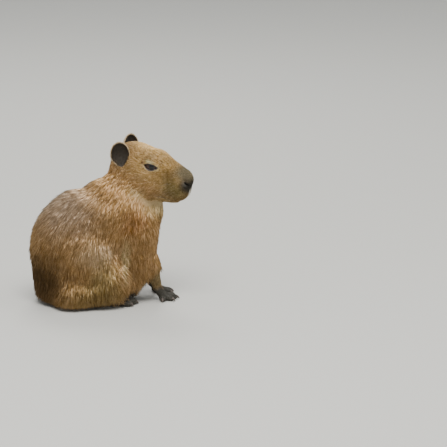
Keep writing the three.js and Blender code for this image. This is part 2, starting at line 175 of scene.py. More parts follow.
# %% [markdown]
# ## Trunk, head and limbs
# These are the masses themselves, with the sizes that the solids have. Sizes on the head are given on its own
# axes. Fore and hind feet are sets of tapered toes, of which a capybara has four in front and three behind.

# %% The masses
BODY_BLEND = 24.0
HEAD_BLEND = 9.0
SIDES = {"left": 1, "right": -1}


def both(make):
    return [make(1), make(-1)]


trunk = [
    ball((-62, 0, 106), (102, 90, 118)),  # rump and loins
    ball((-84, 0, 48), (62, 84, 70)),  # seat
    ball((20, 0, 138), (70, 70, 96)),  # ribs and chest
    ball((-6, 0, 78), (70, 78, 66)),  # belly
    *both(lambda s: ball((28, 40 * s, 152), (56, 42, 66))),  # shoulders
    *both(lambda s: ball((-22, 32 * s, 148), (76, 52, 76))),  # flanks
    ball((-36, 0, 188), (62, 50, 42)),  # withers
]
neck = [
    taper((22, 0, 176), (40, -4, 256), 66, 47),
    ball((-2, -2, 213), (46, 44, 40)),  # nape
    ball((80, -10, 189), (25, 30, 34)),  # throat
]


def hind_masses(s):
    thigh = taper((-62, 50 * s, 112), (-20, 66 * s, 68), 48, 32)
    shank = taper((-22, 66 * s, 54), (-88, 62 * s, 28), 34, 27)
    return melt(BODY_BLEND, [thigh, shank])


thighs = both(hind_masses)
elbows = both(lambda s: taper((34, 44 * s, 140), (60, 40 * s, 92), 34, 21))


def head_ball(centre, radii):
    return ball(on_head(*centre), radii, HEAD_AXES)


head_masses = [
    head_ball((-34, 0, -8), (52, 39, 41)),  # skull
    head_ball((-2, 0, -4), (42, 33, 34)),  # forehead
    taper(on_head(8, 0, 9), on_head(64, 0, -5), 20, 15),  # bridge of the snout
    *both(lambda s: head_ball((50, 10 * s, -28), (32, 20, 30))),  # upper lips
    *both(lambda s: head_ball((65, 7 * s, -36), (18, 14, 18))),  # blunt front of the lips
    head_ball((71, 0, -13), (14, 19, 15)),  # nose pad
    head_ball((36, 0, -53), (36, 22, 15)),  # lower jaw
    *both(lambda s: head_ball((-6, 22 * s, -36), (46, 24, 35))),  # cheeks
    head_ball((-30, 0, -50), (48, 40, 42)),  # throat
    *both(lambda s: head_ball((0, 25 * s, 13), (19, 9, 6.5))),  # brows
]
body = melt(BODY_BLEND, [*trunk, *neck, *thighs, *elbows])
flesh = melt(BODY_BLEND * 0.8, [body, melt(HEAD_BLEND, head_masses)])
print("masses:", sum(len(masses) for masses in (trunk, neck, thighs, elbows, head_masses)))

# %% Legs and feet, by their joints


def foreleg(s):
    return {
        "elbow": (60, 40 * s, 96),
        "knee": (74, 37 * s, 66),
        "wrist": (87, 32 * s, 24),
        "palm": (99, 30 * s, 8),
        "toes": [(119, 15 * s, 5), (121, 29 * s, 5), (111, 43 * s, 5), (94, 46 * s, 5)],
    }


def hindleg(s):
    return {
        "heel": (-92, 60 * s, 13),
        "ball": (-12, 57 * s, 10),
        "toes": [(22, 41 * s, 6), (32, 56 * s, 6), (19, 71 * s, 6)],
    }


def foreleg_field(s):
    at = foreleg(s)
    return melt(7, [taper(at["elbow"], at["knee"], 20, 15), taper(at["knee"], at["wrist"], 15, 9)])


def forefoot_field(s):
    at = foreleg(s)
    toes = [taper(at["palm"], toe, 7.5, 5.6) for toe in at["toes"]]
    return melt(4, [taper(at["wrist"], at["palm"], 9.5, 8.5), *toes])


def hindfoot_field(s):
    at = hindleg(s)
    toes = [taper(at["ball"], toe, 11, 7.2) for toe in at["toes"]]
    return melt(4, [taper(at["heel"], at["ball"], 15, 12), *toes])


forelegs = both(foreleg_field)
feet = [*both(forefoot_field), *both(hindfoot_field)]
print("legs and feet:", len(forelegs), len(feet))

# %% [markdown]
# ## How deep the coat is
# A capybara's coat is long and sparse on the body and short on the face, and there is next to none on the
# feet. The solids end at the outline of the coat, so the skin lies this far below their surface.

# %% Depth of the coat
BODY_COAT = 8.0
FACE_COAT = 1.6
LEG_COAT = 1.5
FOOT_COAT = 0.4
HEAD_BACK = on_head(-28, 0, -32)
HEAD_WAY = HEAD_AXES @ np.array([0.6, 0, 0.8])


def head_share(p):
    """0 on the body, 1 on the face, and between them behind the cheeks."""
    return ramp(-28, 24, (p - HEAD_BACK) @ HEAD_WAY)


def coat_depth(p):
    body = BODY_COAT * (0.35 + 0.65 * ramp(0, 40, p[..., 2]))
    return body + (FACE_COAT - body) * head_share(p)


# %% [markdown]
# ## The face
# The solids already have the cup of each ear, a socket, a mouth line and nostrils. The skin makes them
# fine: lids that are a shell over the eyeball, cut by a half-moon that is straight above and round below, a
# crease over the upper lid, winged nostrils, the cleft of the upper lip, and lips that meet in a long curve.

# %% Lids, lips and nostrils, cut on the head's own axes
LID = 2.0  # thickness of the lids over the ball
CREASE_OUT = 4.4  # how far outside the ball the fold over the upper lid runs
FISSURE = {"back": (-15.0, -0.5), "front": (15.0, 1.0), "above": 5.6, "below": 7.8}
MOUTH = [(28, -50), (42, -55), (58, -57), (76, -54), (98, -46)]


def almond(x, z):
    """A half-moon on the side of the head: its corners, and how far it rises and hangs between them."""
    (x0, z0), (x1, z1) = FISSURE["back"], FISSURE["front"]
    t = (x - x0) / (x1 - x0)
    line = z0 + (z1 - z0) * t
    arch = 4 * t * (1 - t)
    upper = z - (line + FISSURE["above"] * arch)
    lower = (line - FISSURE["below"] * arch) - z
    ends = np.maximum(x0 - x, x - x1)
    return np.maximum(np.maximum(upper, lower), ends)


def near_path(x, z, path):
    best = np.full(x.shape, np.inf)
    for (x0, z0), (x1, z1) in zip(path, path[1:]):
        dx, dz = x1 - x0, z1 - z0
        t = np.clip(((x - x0) * dx + (z - z0) * dz) / (dx * dx + dz * dz), 0, 1)
        best = np.minimum(best, np.hypot(x - x0 - t * dx, z - z0 - t * dz))
    return best


# %% [markdown]
# ## Ears
# Each ear is a thin bowl on a short stem, close to round, narrower at its root and set far back. It could be
# a shrunken sphere cut in half, but as a field it grows out of the head without a seam. The room inside the
# bowl is a field too: it clears the flesh of the temple out of the ear's mouth.

# %% Ears as thin bowls
EARS = {
    "left": {"centre": (-63, 45, 5), "faces": (0.7, -0.58, 0.3)},
    "right": {"centre": (-63, -45, 7.3), "faces": (0.42, -0.88, 0.06)},
}
EAR_WIDTH, EAR_CUP, EAR_HEIGHT = 37.0, 12.0, 52.0
EAR_WALL = 2.2
EAR_RIM = 0.6  # how far behind the middle of the egg it is cut open
EAR_NARROWING = 0.36  # share of the width that is lost at the root
BOWL_REACH = 25  # how far in front of the ear the flesh is cleared


def ear_upward(s):
    return unit(np.array([-0.34, 0.2 * s, 0.92]))


def ear_axes(side):
    up = ear_upward(SIDES[side])
    out = np.array(EARS[side]["faces"], float)
    out = unit(out - (out @ up) * up)
    return HEAD_AXES @ np.stack([np.cross(out, up), out, up], axis=1)


def ear_egg(side):
    """The egg that the bowl is cut from, and what takes a point to its axes: across, out and up."""
    axes, centre = ear_axes(side), on_head(*EARS[side]["centre"])

    def onto(p):
        q = (p - centre) @ axes
        low = np.clip(-q[..., 2] / (EAR_HEIGHT / 2), 0, 1)
        q[..., 0] /= 1 - EAR_NARROWING * low * low
        return q

    return ball((0, 0, 0), (EAR_WIDTH / 2, EAR_CUP, EAR_HEIGHT / 2)), onto


def ear_field(side):
    """The wall of half an egg, open where the ear faces."""
    egg, onto = ear_egg(side)

    def field(p):
        q = onto(p)
        return carve(1.4, np.abs(egg(q)) - EAR_WALL / 2, -q[..., 1] - EAR_RIM)

    return field


def bowl_room(side):
    """The room in the bowl, run on outwards, so that neither flesh nor hair stands in its mouth."""
    egg, onto = ear_egg(side)

    def field(p):
        q = onto(p)
        out = q[..., 1].copy()
        q[..., 1] = np.clip(out, -EAR_CUP, -EAR_RIM)
        room = egg(q) + EAR_WALL / 2 + 0.3
        return np.maximum(np.maximum(room, out - BOWL_REACH), -out - EAR_CUP)

    return field


def ear_root(side):
    s = SIDES[side]
    return taper(on_head(-54, 24 * s, -12), on_head(-68, 31 * s, -7), 12, 6)


ear_fields = {side: ear_field(side) for side in SIDES}
bowl_rooms = {side: bowl_room(side) for side in SIDES}
ear_roots = {side: ear_root(side) for side in SIDES}
print("ears:", len(ear_fields))

# %% The face as one field
FACE_MIDDLE, FACE_REACH = (10, 0, -15), 125.0


def face_details(p, d):
    """Eyes, ears, nose and mouth, worked only on the points that lie about the head."""
    near = ((p - on_head(*FACE_MIDDLE)) ** 2).sum(-1) < FACE_REACH**2
    if not near.any():
        return d
    points = p[near]
    q = (points - EYE_LINE) @ HEAD_AXES
    x, y, z = q[..., 0], q[..., 1], q[..., 2]
    g = d[near]
    depth_in = g.copy()
    for side, s in SIDES.items():
        g = join(5, g, ear_roots[side](points))
        g = join(3, carve(2.0, g, bowl_rooms[side](points)), ear_fields[side](points))
        # The lids, the fold over the upper one, and the opening between them
        ball_d = np.sqrt(x * x + (y - EYE_SIDE * s) ** 2 + (z - EYE_RISE) ** 2) - EYE_RADIUS
        outside = 8 - y * s
        g = join(5, g, ball_d - LID)
        crease = np.maximum(np.abs(ball_d - CREASE_OUT) - 0.3, np.maximum(9 - z, outside))
        g = carve(2.4, g, np.maximum(crease, -depth_in - 0.9))
        opening = np.maximum(almond(x, z - EYE_RISE), outside)
        g = carve(1.2, g, opening)
        g = np.maximum(g, -(ball_d - 0.25))
        # The wing of the nostril, and its hole
        wing = np.sqrt(((x - 71) / 1.2) ** 2 + ((y - 13.5 * s) / 0.9) ** 2 + ((z + 14) / 0.95) ** 2) - 7.4
        g = join(3.5, g, wing)
        tilt = (z + 15) + 0.45 * (x - 76)
        hole = np.sqrt(((x - 76) / 1.25) ** 2 + ((y - 17.5 * s) / 1.2) ** 2 + (tilt / 0.62) ** 2) - 4.6
        g = carve(1.6, g, hole)
    mouth = near_path(x, z, MOUTH) - 0.9
    g = carve(2.6, g, np.maximum(mouth, -depth_in - 3.6 * ramp(22, 46, x)))
    cleft = np.maximum(np.abs(y) - 0.6, np.maximum(-depth_in - 2.2, np.maximum(60 - x, z + 16)))
    g = carve(2.0, g, cleft)
    out = d.copy()
    out[near] = g
    return out


def skin_field(p):
    """The whole skin, which ends at the floor."""
    d = flesh(p) + coat_depth(p)
    for leg in forelegs:
        d = join(8, d, leg(p) + LEG_COAT)
    for foot in feet:
        d = join(4, d, foot(p) + FOOT_COAT)
    return np.maximum(face_details(p, d), -p[..., 2])


print("depth of the skin at the crown, mm:", skin_field(on_head(-20, 0, 20)[None]).round(1))

# %% [markdown]
# ## From field to mesh
# The field is read on a grid that is fine about the head and feet and coarse on the trunk, where the coat
# hides the skin. Each cell that the surface crosses gives one corner at the mean of its crossings, and each
# grid edge that it crosses gives one quad. A few steps down the field's slope then set every corner
# exactly on the surface.

# %% The field on a grid
FINE, COARSE = ((1.5, 4.0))


def grid_line(spans):
    line = []
    for start, end, step in spans:
        count = max(1, round((end - start) / step))
        line.extend(np.linspace(start, end, count, endpoint=False))
    line.append(spans[-1][1])
    return np.array(line)


FLOOR_STEP = 1.8  # about the feet
XS = grid_line([(-176, -22, COARSE), (-22, 164, FINE)])
YS = grid_line([(-112, -84, COARSE), (-84, 68, FINE), (68, 112, COARSE)])
ZS = grid_line([(-3, 24, FLOOR_STEP), (24, 198, COARSE), (198, 336, FINE)])


def sample(field, points, chunk=200_000):
    """The field at many points, worked a chunk at a time."""
    return np.concatenate([field(points[i : i + chunk]) for i in range(0, len(points), chunk)])


BLOCK = 6  # cells along one side of a block
NEAR = 1.5  # how many times its own reach a block may lie from the surface, since the field is inexact
SPARE = 6  # and this many millimetres more


def read_near_surface(field, lines):
    """The field on the grid, worked out only in the blocks that the surface can pass through."""
    shape = tuple(len(line) for line in lines)
    values = np.empty(shape, np.float32)
    starts = [np.arange(0, n, BLOCK) for n in shape]
    ends = [np.minimum(a + BLOCK, n) for a, n in zip(starts, shape)]
    middles = [(line[a] + line[e - 1]) / 2 for line, a, e in zip(lines, starts, ends)]
    halves = [(line[e - 1] - line[a]) / 2 for line, a, e in zip(lines, starts, ends)]
    centre = np.stack(np.meshgrid(*middles, indexing="ij"), axis=-1)
    reach = np.sqrt(sum(h**2 for h in np.meshgrid(*halves, indexing="ij")))
    rough = sample(field, centre.reshape(-1, 3)).reshape(reach.shape)
    near = np.abs(rough) < NEAR * reach + SPARE
    for i, j, k in np.argwhere(~near):
        cut = tuple(slice(a[n], e[n]) for a, e, n in zip(starts, ends, (i, j, k)))
        values[cut] = rough[i, j, k]
    spans, points = [], []
    for i, j, k in np.argwhere(near):
        cut = tuple(slice(a[n], e[n]) for a, e, n in zip(starts, ends, (i, j, k)))
        parts = [line[c] for line, c in zip(lines, cut)]
        block = np.stack(np.meshgrid(*parts, indexing="ij"), axis=-1)
        spans.append((cut, block.shape[:3]))
        points.append(block.reshape(-1, 3))
    found = sample(field, np.concatenate(points))
    at = 0
    for cut, size in spans:
        count = size[0] * size[1] * size[2]
        values[cut] = found[at : at + count].reshape(size)
        at += count
    return values


print("corners of the grid:", len(XS), "x", len(YS), "x", len(ZS))

# %% Corners and quads


def surface_net(field, lines):
    """The surface where the field is zero, as corners and quads."""
    values = read_near_surface(field, lines)
    inside = values < 0
    corners = [(i, j, k) for i in (0, 1) for j in (0, 1) for k in (0, 1)]
    shape = tuple(n - 1 for n in values.shape)

    def place(at):
        return np.stack([line[n] for line, n in zip(lines, at)], axis=-1)

    def window(c):
        return inside[tuple(slice(start, start + n) for start, n in zip(c, shape))]

    count = sum(window(c).astype(np.int8) for c in corners)
    cells = np.argwhere((count > 0) & (count < 8))
    index = np.full(shape, -1)
    index[tuple(cells.T)] = np.arange(len(cells))
    total = np.zeros((len(cells), 3))
    hits = np.zeros(len(cells))
    for a in corners:
        for axis in range(3):
            if a[axis]:
                continue
            b = tuple(v + (n == axis) for n, v in enumerate(a))
            ia, ib = (tuple((cells + c).T) for c in (a, b))
            va, vb = values[ia], values[ib]
            crossed = (va < 0) != (vb < 0)
            t = np.where(crossed, va / np.where(va == vb, 1, va - vb), 0)[:, None]
            total += np.where(crossed[:, None], place(ia) * (1 - t) + place(ib) * t, 0)
            hits += crossed
    faces = []
    for axis in range(3):
        b, c = [n for n in range(3) if n != axis]
        first = np.take(inside, range(inside.shape[axis] - 1), axis)
        second = np.take(inside, range(1, inside.shape[axis]), axis)
        edge = np.argwhere(first != second)
        keep = (edge[:, b] > 0) & (edge[:, c] > 0) & (edge[:, b] < shape[b]) & (edge[:, c] < shape[c])
        edge = edge[keep]
        ring = []
        for db, dc in ((1, 1), (0, 1), (0, 0), (1, 0)):
            cell = edge.copy()
            cell[:, b] -= db
            cell[:, c] -= dc
            ring.append(index[tuple(cell.T)])
        quad = np.stack(ring, axis=1)
        flipped = ~first[tuple(edge.T)]
        if axis == 1:
            flipped = ~flipped
        quad[flipped] = quad[flipped][:, ::-1]
        faces.append(quad)
    return total / hits[:, None], np.concatenate(faces)


def slope(field, p, step=0.4):
    """Which way the field rises, and how fast."""
    parts = []
    for axis in np.eye(3):
        parts.append((field(p + axis * step) - field(p - axis * step)) / (2 * step))
    return np.stack(parts, axis=-1)


skin_points, skin_faces = surface_net(skin_field, (XS, YS, ZS))
for _ in range(2):
    grad = slope(skin_field, skin_points)
    length = np.maximum((grad * grad).sum(-1), 0.25)
    move = -skin_field(skin_points)[:, None] * grad / length[:, None]
    skin_points += np.clip(move, -0.6, 0.6)
print("skin corners and quads:", len(skin_points), len(skin_faces))

# %% Make the skin mesh


def placed(name, data):
    made = bpy.data.objects.new(name, data)
    bpy.context.scene.collection.objects.link(made)
    return made


def mesh_object(name, points, faces):
    """A smooth-shaded object from corners on the animal's own axes."""
    mesh = bpy.data.meshes.new(name)
    listed = faces.tolist() if isinstance(faces, np.ndarray) else faces
    mesh.from_pydata(to_frame(points).tolist(), [], listed)
    mesh.validate()
    mesh.shade_smooth()
    return placed(name, mesh)


skin = mesh_object("skin", skin_points, skin_faces)
print("skin triangles:", 2 * len(skin.data.polygons))

# %% [markdown]
# ## An unwrap of the skin
# Skin and coat share one unwrap, called OFBake. Smart UV Project cuts the skin where it turns sharply and
# lays the pieces side by side, so no two places on the animal fall on the same spot. Each tuft later takes
# the spot of its own root.

# %% Unwrap the skin
bpy.context.view_layer.objects.active = skin
skin.select_set(True)
skin.data.uv_layers.new(name="OFBake")
bpy.ops.object.mode_set(mode="EDIT")
bpy.ops.mesh.select_all(action="SELECT")
bpy.ops.uv.smart_project(angle_limit=math.radians(66), island_margin=0.004)
bpy.ops.object.mode_set(mode="OBJECT")
skin.select_set(False)
print("unwrapped", len(skin.data.polygons), "faces")

# %% [markdown]
# ## Where the coat changes
# Hair differs from part to part, so each corner of the skin first learns how much it belongs to the head, to
# a leg, a foot or an ear, and to the inside of an ear. The shares run from 0 to 1, and later blend one kind
# of hair into the next without an edge.

# %% Shares of head, legs, feet and ears
count = len(skin.data.vertices)
P, N = np.empty(count * 3), np.empty(count * 3)
skin.data.vertices.foreach_get("co", P)
skin.data.vertices.foreach_get("normal", N)
P = P.reshape(-1, 3) / MM - SHIFT
N = N.reshape(-1, 3)
hx, hy, hz = ((P - EYE_LINE) @ HEAD_AXES).T

share = head_share(P)
body_distance = flesh(P)
clear_of_body = ramp(-1, 3, body_distance)
on_leg = ramp(6, 0, np.min([leg(P) for leg in forelegs], axis=0)) * clear_of_body
on_foot = ramp(4, 0, np.min([foot(P) for foot in feet], axis=0)) * clear_of_body
limb = np.maximum(on_leg, on_foot)
ear_distance = np.min([ear_fields[side](P) for side in SIDES], axis=0)
on_ear = ramp(2.2, 0.6, ear_distance) * ramp(0.5, 3.5, body_distance)

in_bowl, near_rim = np.zeros(count), np.zeros(count)
for side in SIDES:
    facing = ear_axes(side)[:, 1]
    out = (P - on_head(*EARS[side]["centre"])) @ facing
    near_this = ear_fields[side](P) < 2.2
    inner_wall = on_ear * ramp(-0.1, 0.35, N @ facing) * ramp(-0.6, -3.2, out)
    cleared = ramp(1.5, 0.7, bowl_rooms[side](P)) * ramp(12, 8, out)
    in_bowl = np.maximum(np.where(near_this, inner_wall, in_bowl), cleared)
    near_rim = np.maximum(near_rim, near_this * ramp(-7, -1.5, out))
    on_ear = np.maximum(on_ear, cleared)
print("corners in the bowls of the ears:", int((in_bowl > 0.5).sum()))

# %% [markdown]
# ## Which way the hair lies
# On a sitting capybara the hair hangs down the flanks and runs back over the loins. On the head it runs from
# the nose to the nape and down over the cheeks, on the legs down to the toes, and on the ears up to their
# tips. By the ground it is pushed outwards like the hem of a skirt. Broad waves of chance swing it a little,
# since a coat that is combed too well looks like plastic.

# %% The lie of the hair
SKIRT_FLARE = 0.55  # how far outwards the hem is pushed


def waves(p, size, seed):
    """A smooth random swing between -1 and 1, about that many millimetres from crest to crest."""
    rng = np.random.default_rng(seed)
    total = 0
    for _ in range(5):
        way = unit(rng.normal(size=3))
        pace, start = 2 * math.pi / size * rng.uniform(0.7, 1.4), rng.uniform(0, 6.28)
        total = total + np.sin(p @ way * pace + start)
    return total / 2.6


def turn_into(one, other, weight):
    """One value giving way to another, corner by corner."""
    if np.ndim(one) == 2:
        weight = weight[:, None]
    return one * (1 - weight) + other * weight


back = ramp(90, 210, P[:, 2])
lie = np.stack([-0.06 - 0.3 * back, np.zeros(count), -np.ones(count)], axis=1)
front_of_thigh = ramp(-50, 5, P[:, 0]) * ramp(150, 90, P[:, 2]) * ramp(55, 78, np.abs(P[:, 1]))
breast = ramp(55, 90, P[:, 0]) * ramp(130, 180, P[:, 2])
lie[:, 0] += 0.5 * front_of_thigh + 0.55 * breast

over_cheek = ramp(8, -40, hz) * ramp(62, 30, hx)
face_lie = -1.0 * FORWARD - 0.9 * UPWARD * over_cheek[:, None]
toe_lie = np.stack([np.ones(count), 0.1 * np.sign(P[:, 1]), -0.4 * np.ones(count)], axis=1)
ear_lie = np.where((hy > 0)[:, None], HEAD_AXES @ ear_upward(1), HEAD_AXES @ ear_upward(-1))
for other, weight in ((1.4 * face_lie, share), (toe_lie, on_foot), (ear_lie, on_ear)):
    lie = turn_into(lie, other, weight)

swing = (0.13 * waves(P, 52, 3) + 0.1 * waves(P, 18, 4)) * (1 - 0.6 * share)
lie = unit(lie - (lie * N).sum(-1)[:, None] * N)
lie = unit(lie + swing[:, None] * np.cross(N, lie))
skirt = ramp(75, 15, P[:, 2]) * (1 - share) * (1 - limb)
lie = unit(lie + SKIRT_FLARE * skirt[:, None] * unit(N * np.array([1.0, 1.0, 0.0])))
underside = ramp(0.1, -0.35, N[:, 2]) * ramp(150, 100, P[:, 2])
hangs = underside * (1 - share) * ramp(0.6, 0.2, limb)
straight_down = np.array([0, 0, -1.0]) + 0.1 * N
lie = unit(turn_into(lie, straight_down, hangs))
print("hair that hangs free, corners:", int((hangs > 0.5).sum()))

# %% [markdown]
# ## How long, wide and steep a tuft is
# The hair is three centimetres long on the body, one on the head and next to nothing on muzzle, feet and
# ears. It is kept short about the ears and eyes, so that it hides neither, and over the ground it is no
# longer than the room beneath it.

# %% Length, width and rise
# The most that chance makes of the length and the rise of one tuft
LONGEST_HAIR = 1.15
LONGEST_RISE = 1.25
BODY_HAIR, FACE_HAIR, LEG_HAIR, FOOT_HAIR, EAR_HAIR = 33, 9.0, 6.0, 3.2, 4.2
BODY_GIRTH, FACE_GIRTH = 1.65, 0.8

muzzle = ramp(20, 60, hx) * share
jowl = ramp(-22, -48, hz) * ramp(40, 0, hx)
short = np.maximum(limb, on_ear)
hair = turn_into(BODY_HAIR + 4 * waves(P, 60, 5), FACE_HAIR - 5.5 * muzzle + 9.0 * jowl, share)
for length, weight in ((LEG_HAIR, on_leg), (FOOT_HAIR, on_foot), (EAR_HAIR, on_ear)):
    hair = turn_into(hair, length, weight)
girth = turn_into(BODY_GIRTH, FACE_GIRTH, share) * (1 - 0.55 * short)
rise = turn_into(turn_into(0.8 * coat_depth(P), 1.1, share), 0.9, short)

hair = np.minimum(hair, 3.2 + 0.7 * np.maximum(ear_distance - 2, 0))
from_lids = almond(hx, hz - EYE_RISE)
by_an_eye = (np.abs(hy) > 8) & (np.abs(hx) < 40) & (np.abs(hz) < 30)
hair = np.where(by_an_eye, np.minimum(hair, 1.8 + 0.6 * np.maximum(from_lids, 0)), hair)
clearance = P[:, 2] - 1.0 - LONGEST_RISE * rise * np.maximum(-N[:, 2], 0)
downward = np.maximum(-lie[:, 2], 0) + 0.03
hair = np.minimum(hair, np.maximum(clearance, 0.8) / (LONGEST_HAIR * downward))
print("hair from", round(hair.min(), 1), "to", round(hair.max(), 1), "mm")

# %% [markdown]
# ## How close the tufts stand
# The shorter the hair, the closer the tufts have to stand to hide the skin. The lids' edges, the nose
# leather, the lips, the soles and the seat stay bare.

# %% Closeness, kept on the skin with the rest
eye_clear = np.ones(count)
for s in SIDES.values():
    socket = np.sqrt(hx**2 + (hy - EYE_SIDE * s) ** 2 + (hz - EYE_RISE) ** 2) - EYE_RADIUS
    eye_clear = np.where((socket < 9) & (hy * s > 8), ramp(1.3, 3.2, from_lids), eye_clear)
from_nostril = np.sqrt((hx - 71) ** 2 + ((np.abs(hy) - 17) * 1.2) ** 2 + (hz + 16) ** 2)
nose_clear = ramp(6.0, 10.0, from_nostril)
lips_clear = ramp(1.0, 2.6, near_path(hx, hz, MOUTH) + 6 * (1 - ramp(18, 30, hx)))

# Tufts on a square millimetre, before the whole is brought to the number wanted
close = turn_into(0.3, 0.7 + 0.4 * muzzle, share)
for tufts, weight in ((0.75, on_leg), (0.35, on_foot), (1 - 0.8 * in_bowl, on_ear)):
    close = turn_into(close, tufts, weight)
close *= eye_clear * np.where(share > 0.6, nose_clear * lips_clear, 1)
faces_down = ramp(-0.995, -0.9, N[:, 2] + 2 * (P[:, 2] > 12))
close *= ramp(1.5, 6, P[:, 2]) * faces_down


def keep(obj, name, values, kind="FLOAT"):
    """A value at each corner of a mesh, stored where nodes can read it."""
    made = obj.data.attributes.new(name, kind, "POINT")
    field = "vector" if kind == "FLOAT_VECTOR" else "value"
    made.data.foreach_set(field, np.asarray(values, np.float32).ravel())


keep(skin, "lie", lie, "FLOAT_VECTOR")
for name, lengths in (("hair", hair), ("girth", girth), ("rise", rise)):
    keep(skin, name, lengths * MM)
keep(skin, "in_bowl", in_bowl)
keep(skin, "ear_edge", on_ear * (1 - in_bowl) * near_rim)
print("attributes on the skin:", len(skin.data.attributes))

# %% [markdown]
# ## One coat in bands
# The whole coat has well over a million triangles, too many for one piece. The skin's faces are put in
# order from rump to nose and cut into bands that will carry the same number of tufts each.

# %% Bands of equal count
TUFTS = 142_000
BANDS = 8
polygon_corners = np.empty(len(skin.data.polygons) * 4, np.int64)
skin.data.polygons.foreach_get("vertices", polygon_corners)
quads = polygon_corners.reshape(-1, 4)
area = np.empty(len(quads))
skin.data.polygons.foreach_get("area", area)
expected = close[quads].mean(axis=1) * area / MM**2
close *= TUFTS / expected.sum()
order = np.argsort(P[quads].mean(axis=1) @ np.array([0.8, 0, 0.6]))
running = np.cumsum(expected[order]) / expected.sum()
band = np.empty(len(quads), np.int32)
band[order] = np.minimum((running * BANDS).astype(int), BANDS - 1)
skin.data.attributes.new("band", "INT", "FACE").data.foreach_set("value", band)
keep(skin, "close", close / MM**2)
print("tufts wanted:", TUFTS, "in bands:", BANDS)

# %% [markdown]
# ## One tuft
# Hair that keeps together in a point is drawn as one tapered blade: two rings of three corners, with a low
# ridge, and a tip. It is one unit long, wide and high, so that each copy can be stretched to the length,
# width and rise of its own place. It leaves the skin steeply and flattens towards its tip, as hair does
# under its own weight.

# %% The blade that every tuft copies
# Share of the length, share of the rise, and width
TUFT_RINGS = [(0.0, -0.2, 0.6), (0.48, 0.62, 1.0)]


def tuft_mesh():
    corners, faces, along = [], [], []
    for x, z, wide in TUFT_RINGS:
        corners += [(x, wide / 2, z - 0.08), (x, 0, z + 0.12), (x, -wide / 2, z - 0.08)]
        along += [x] * 3
    for ring in range(len(TUFT_RINGS) - 1):
        for k in range(3):
            a, b = ring * 3 + k, ring * 3 + (k + 1) % 3
            faces.append((a, a + 3, b + 3, b))
    tip = len(corners)
    corners.append((1, 0, 1))
    along.append(1.0)
    last = tip - 3
    faces += [(last + k, tip, last + (k + 1) % 3) for k in range(3)]
    faces.append((0, 1, 2))
    mesh = bpy.data.meshes.new("tuft")
    mesh.from_pydata(corners, [], faces)
    mesh.shade_smooth()
    made = mesh.attributes.new("along", "FLOAT", "POINT")
    made.data.foreach_set("value", np.array(along, np.float32))
    return mesh


tuft = placed("tuft_pattern", tuft_mesh())
print("a tuft has", sum(len(f.vertices) - 2 for f in tuft.data.polygons), "triangles")

# %% [markdown]
# ## Nodes, written down
# Both the coat's Geometry Nodes and every material below are trees of nodes. One small function adds a node,
# gives it its settings and links what goes in.

# %% A helper for nodes


def add(tree, kind, inputs=None, **settings):
    node = tree.nodes.new(kind)
    for key, value in settings.items():
        setattr(node, key, value)
    for key, value in (inputs or {}).items():
        socket = node.inputs[key]
        if isinstance(value, bpy.types.NodeSocket):
            tree.links.new(value, socket)
        else:
            socket.default_value = value
    return node


# %% [markdown]
# ## Growing the coat
# Points are scattered over one band of the skin, as close as the attribute says, with a fixed seed. Each
# carries a blade turned to the lie of the hair and away from the skin. Length, rise and direction vary a
# little from one to the next. The blades are then made real, and each gets its own small patch on the
# unwrap, at its root.

# %% The tree that grows a band of coat
TUFT_PATCH = 0.003  # size of that patch, as a share of the unwrap
COAT_INPUTS = [("Skin", "Geometry"), ("Band", "Int"), ("Tuft", "Object")]
COAT_INPUTS += [("Finish", "Material"), ("Stray", "Float"), ("Seed", "Int")]
# What the tree reads from the pieces, by name and kind
READINGS = [("band", "INT"), ("lie", "FLOAT_VECTOR"), ("OFBake", "FLOAT_VECTOR")]
READINGS += [(name, "FLOAT") for name in ("close", "hair", "girth", "rise", "along", "tone")]
# What chance decides for each tuft: least, most, and a number that sets its draws apart
CHANCES = [("stray", -1, 1, 11), ("length", 0.7, LONGEST_HAIR, 21), ("width", 0.7, 1.3, 22)]
CHANCES += [("height", 0.3, LONGEST_RISE, 23), ("tone", 0, 1, 31)]


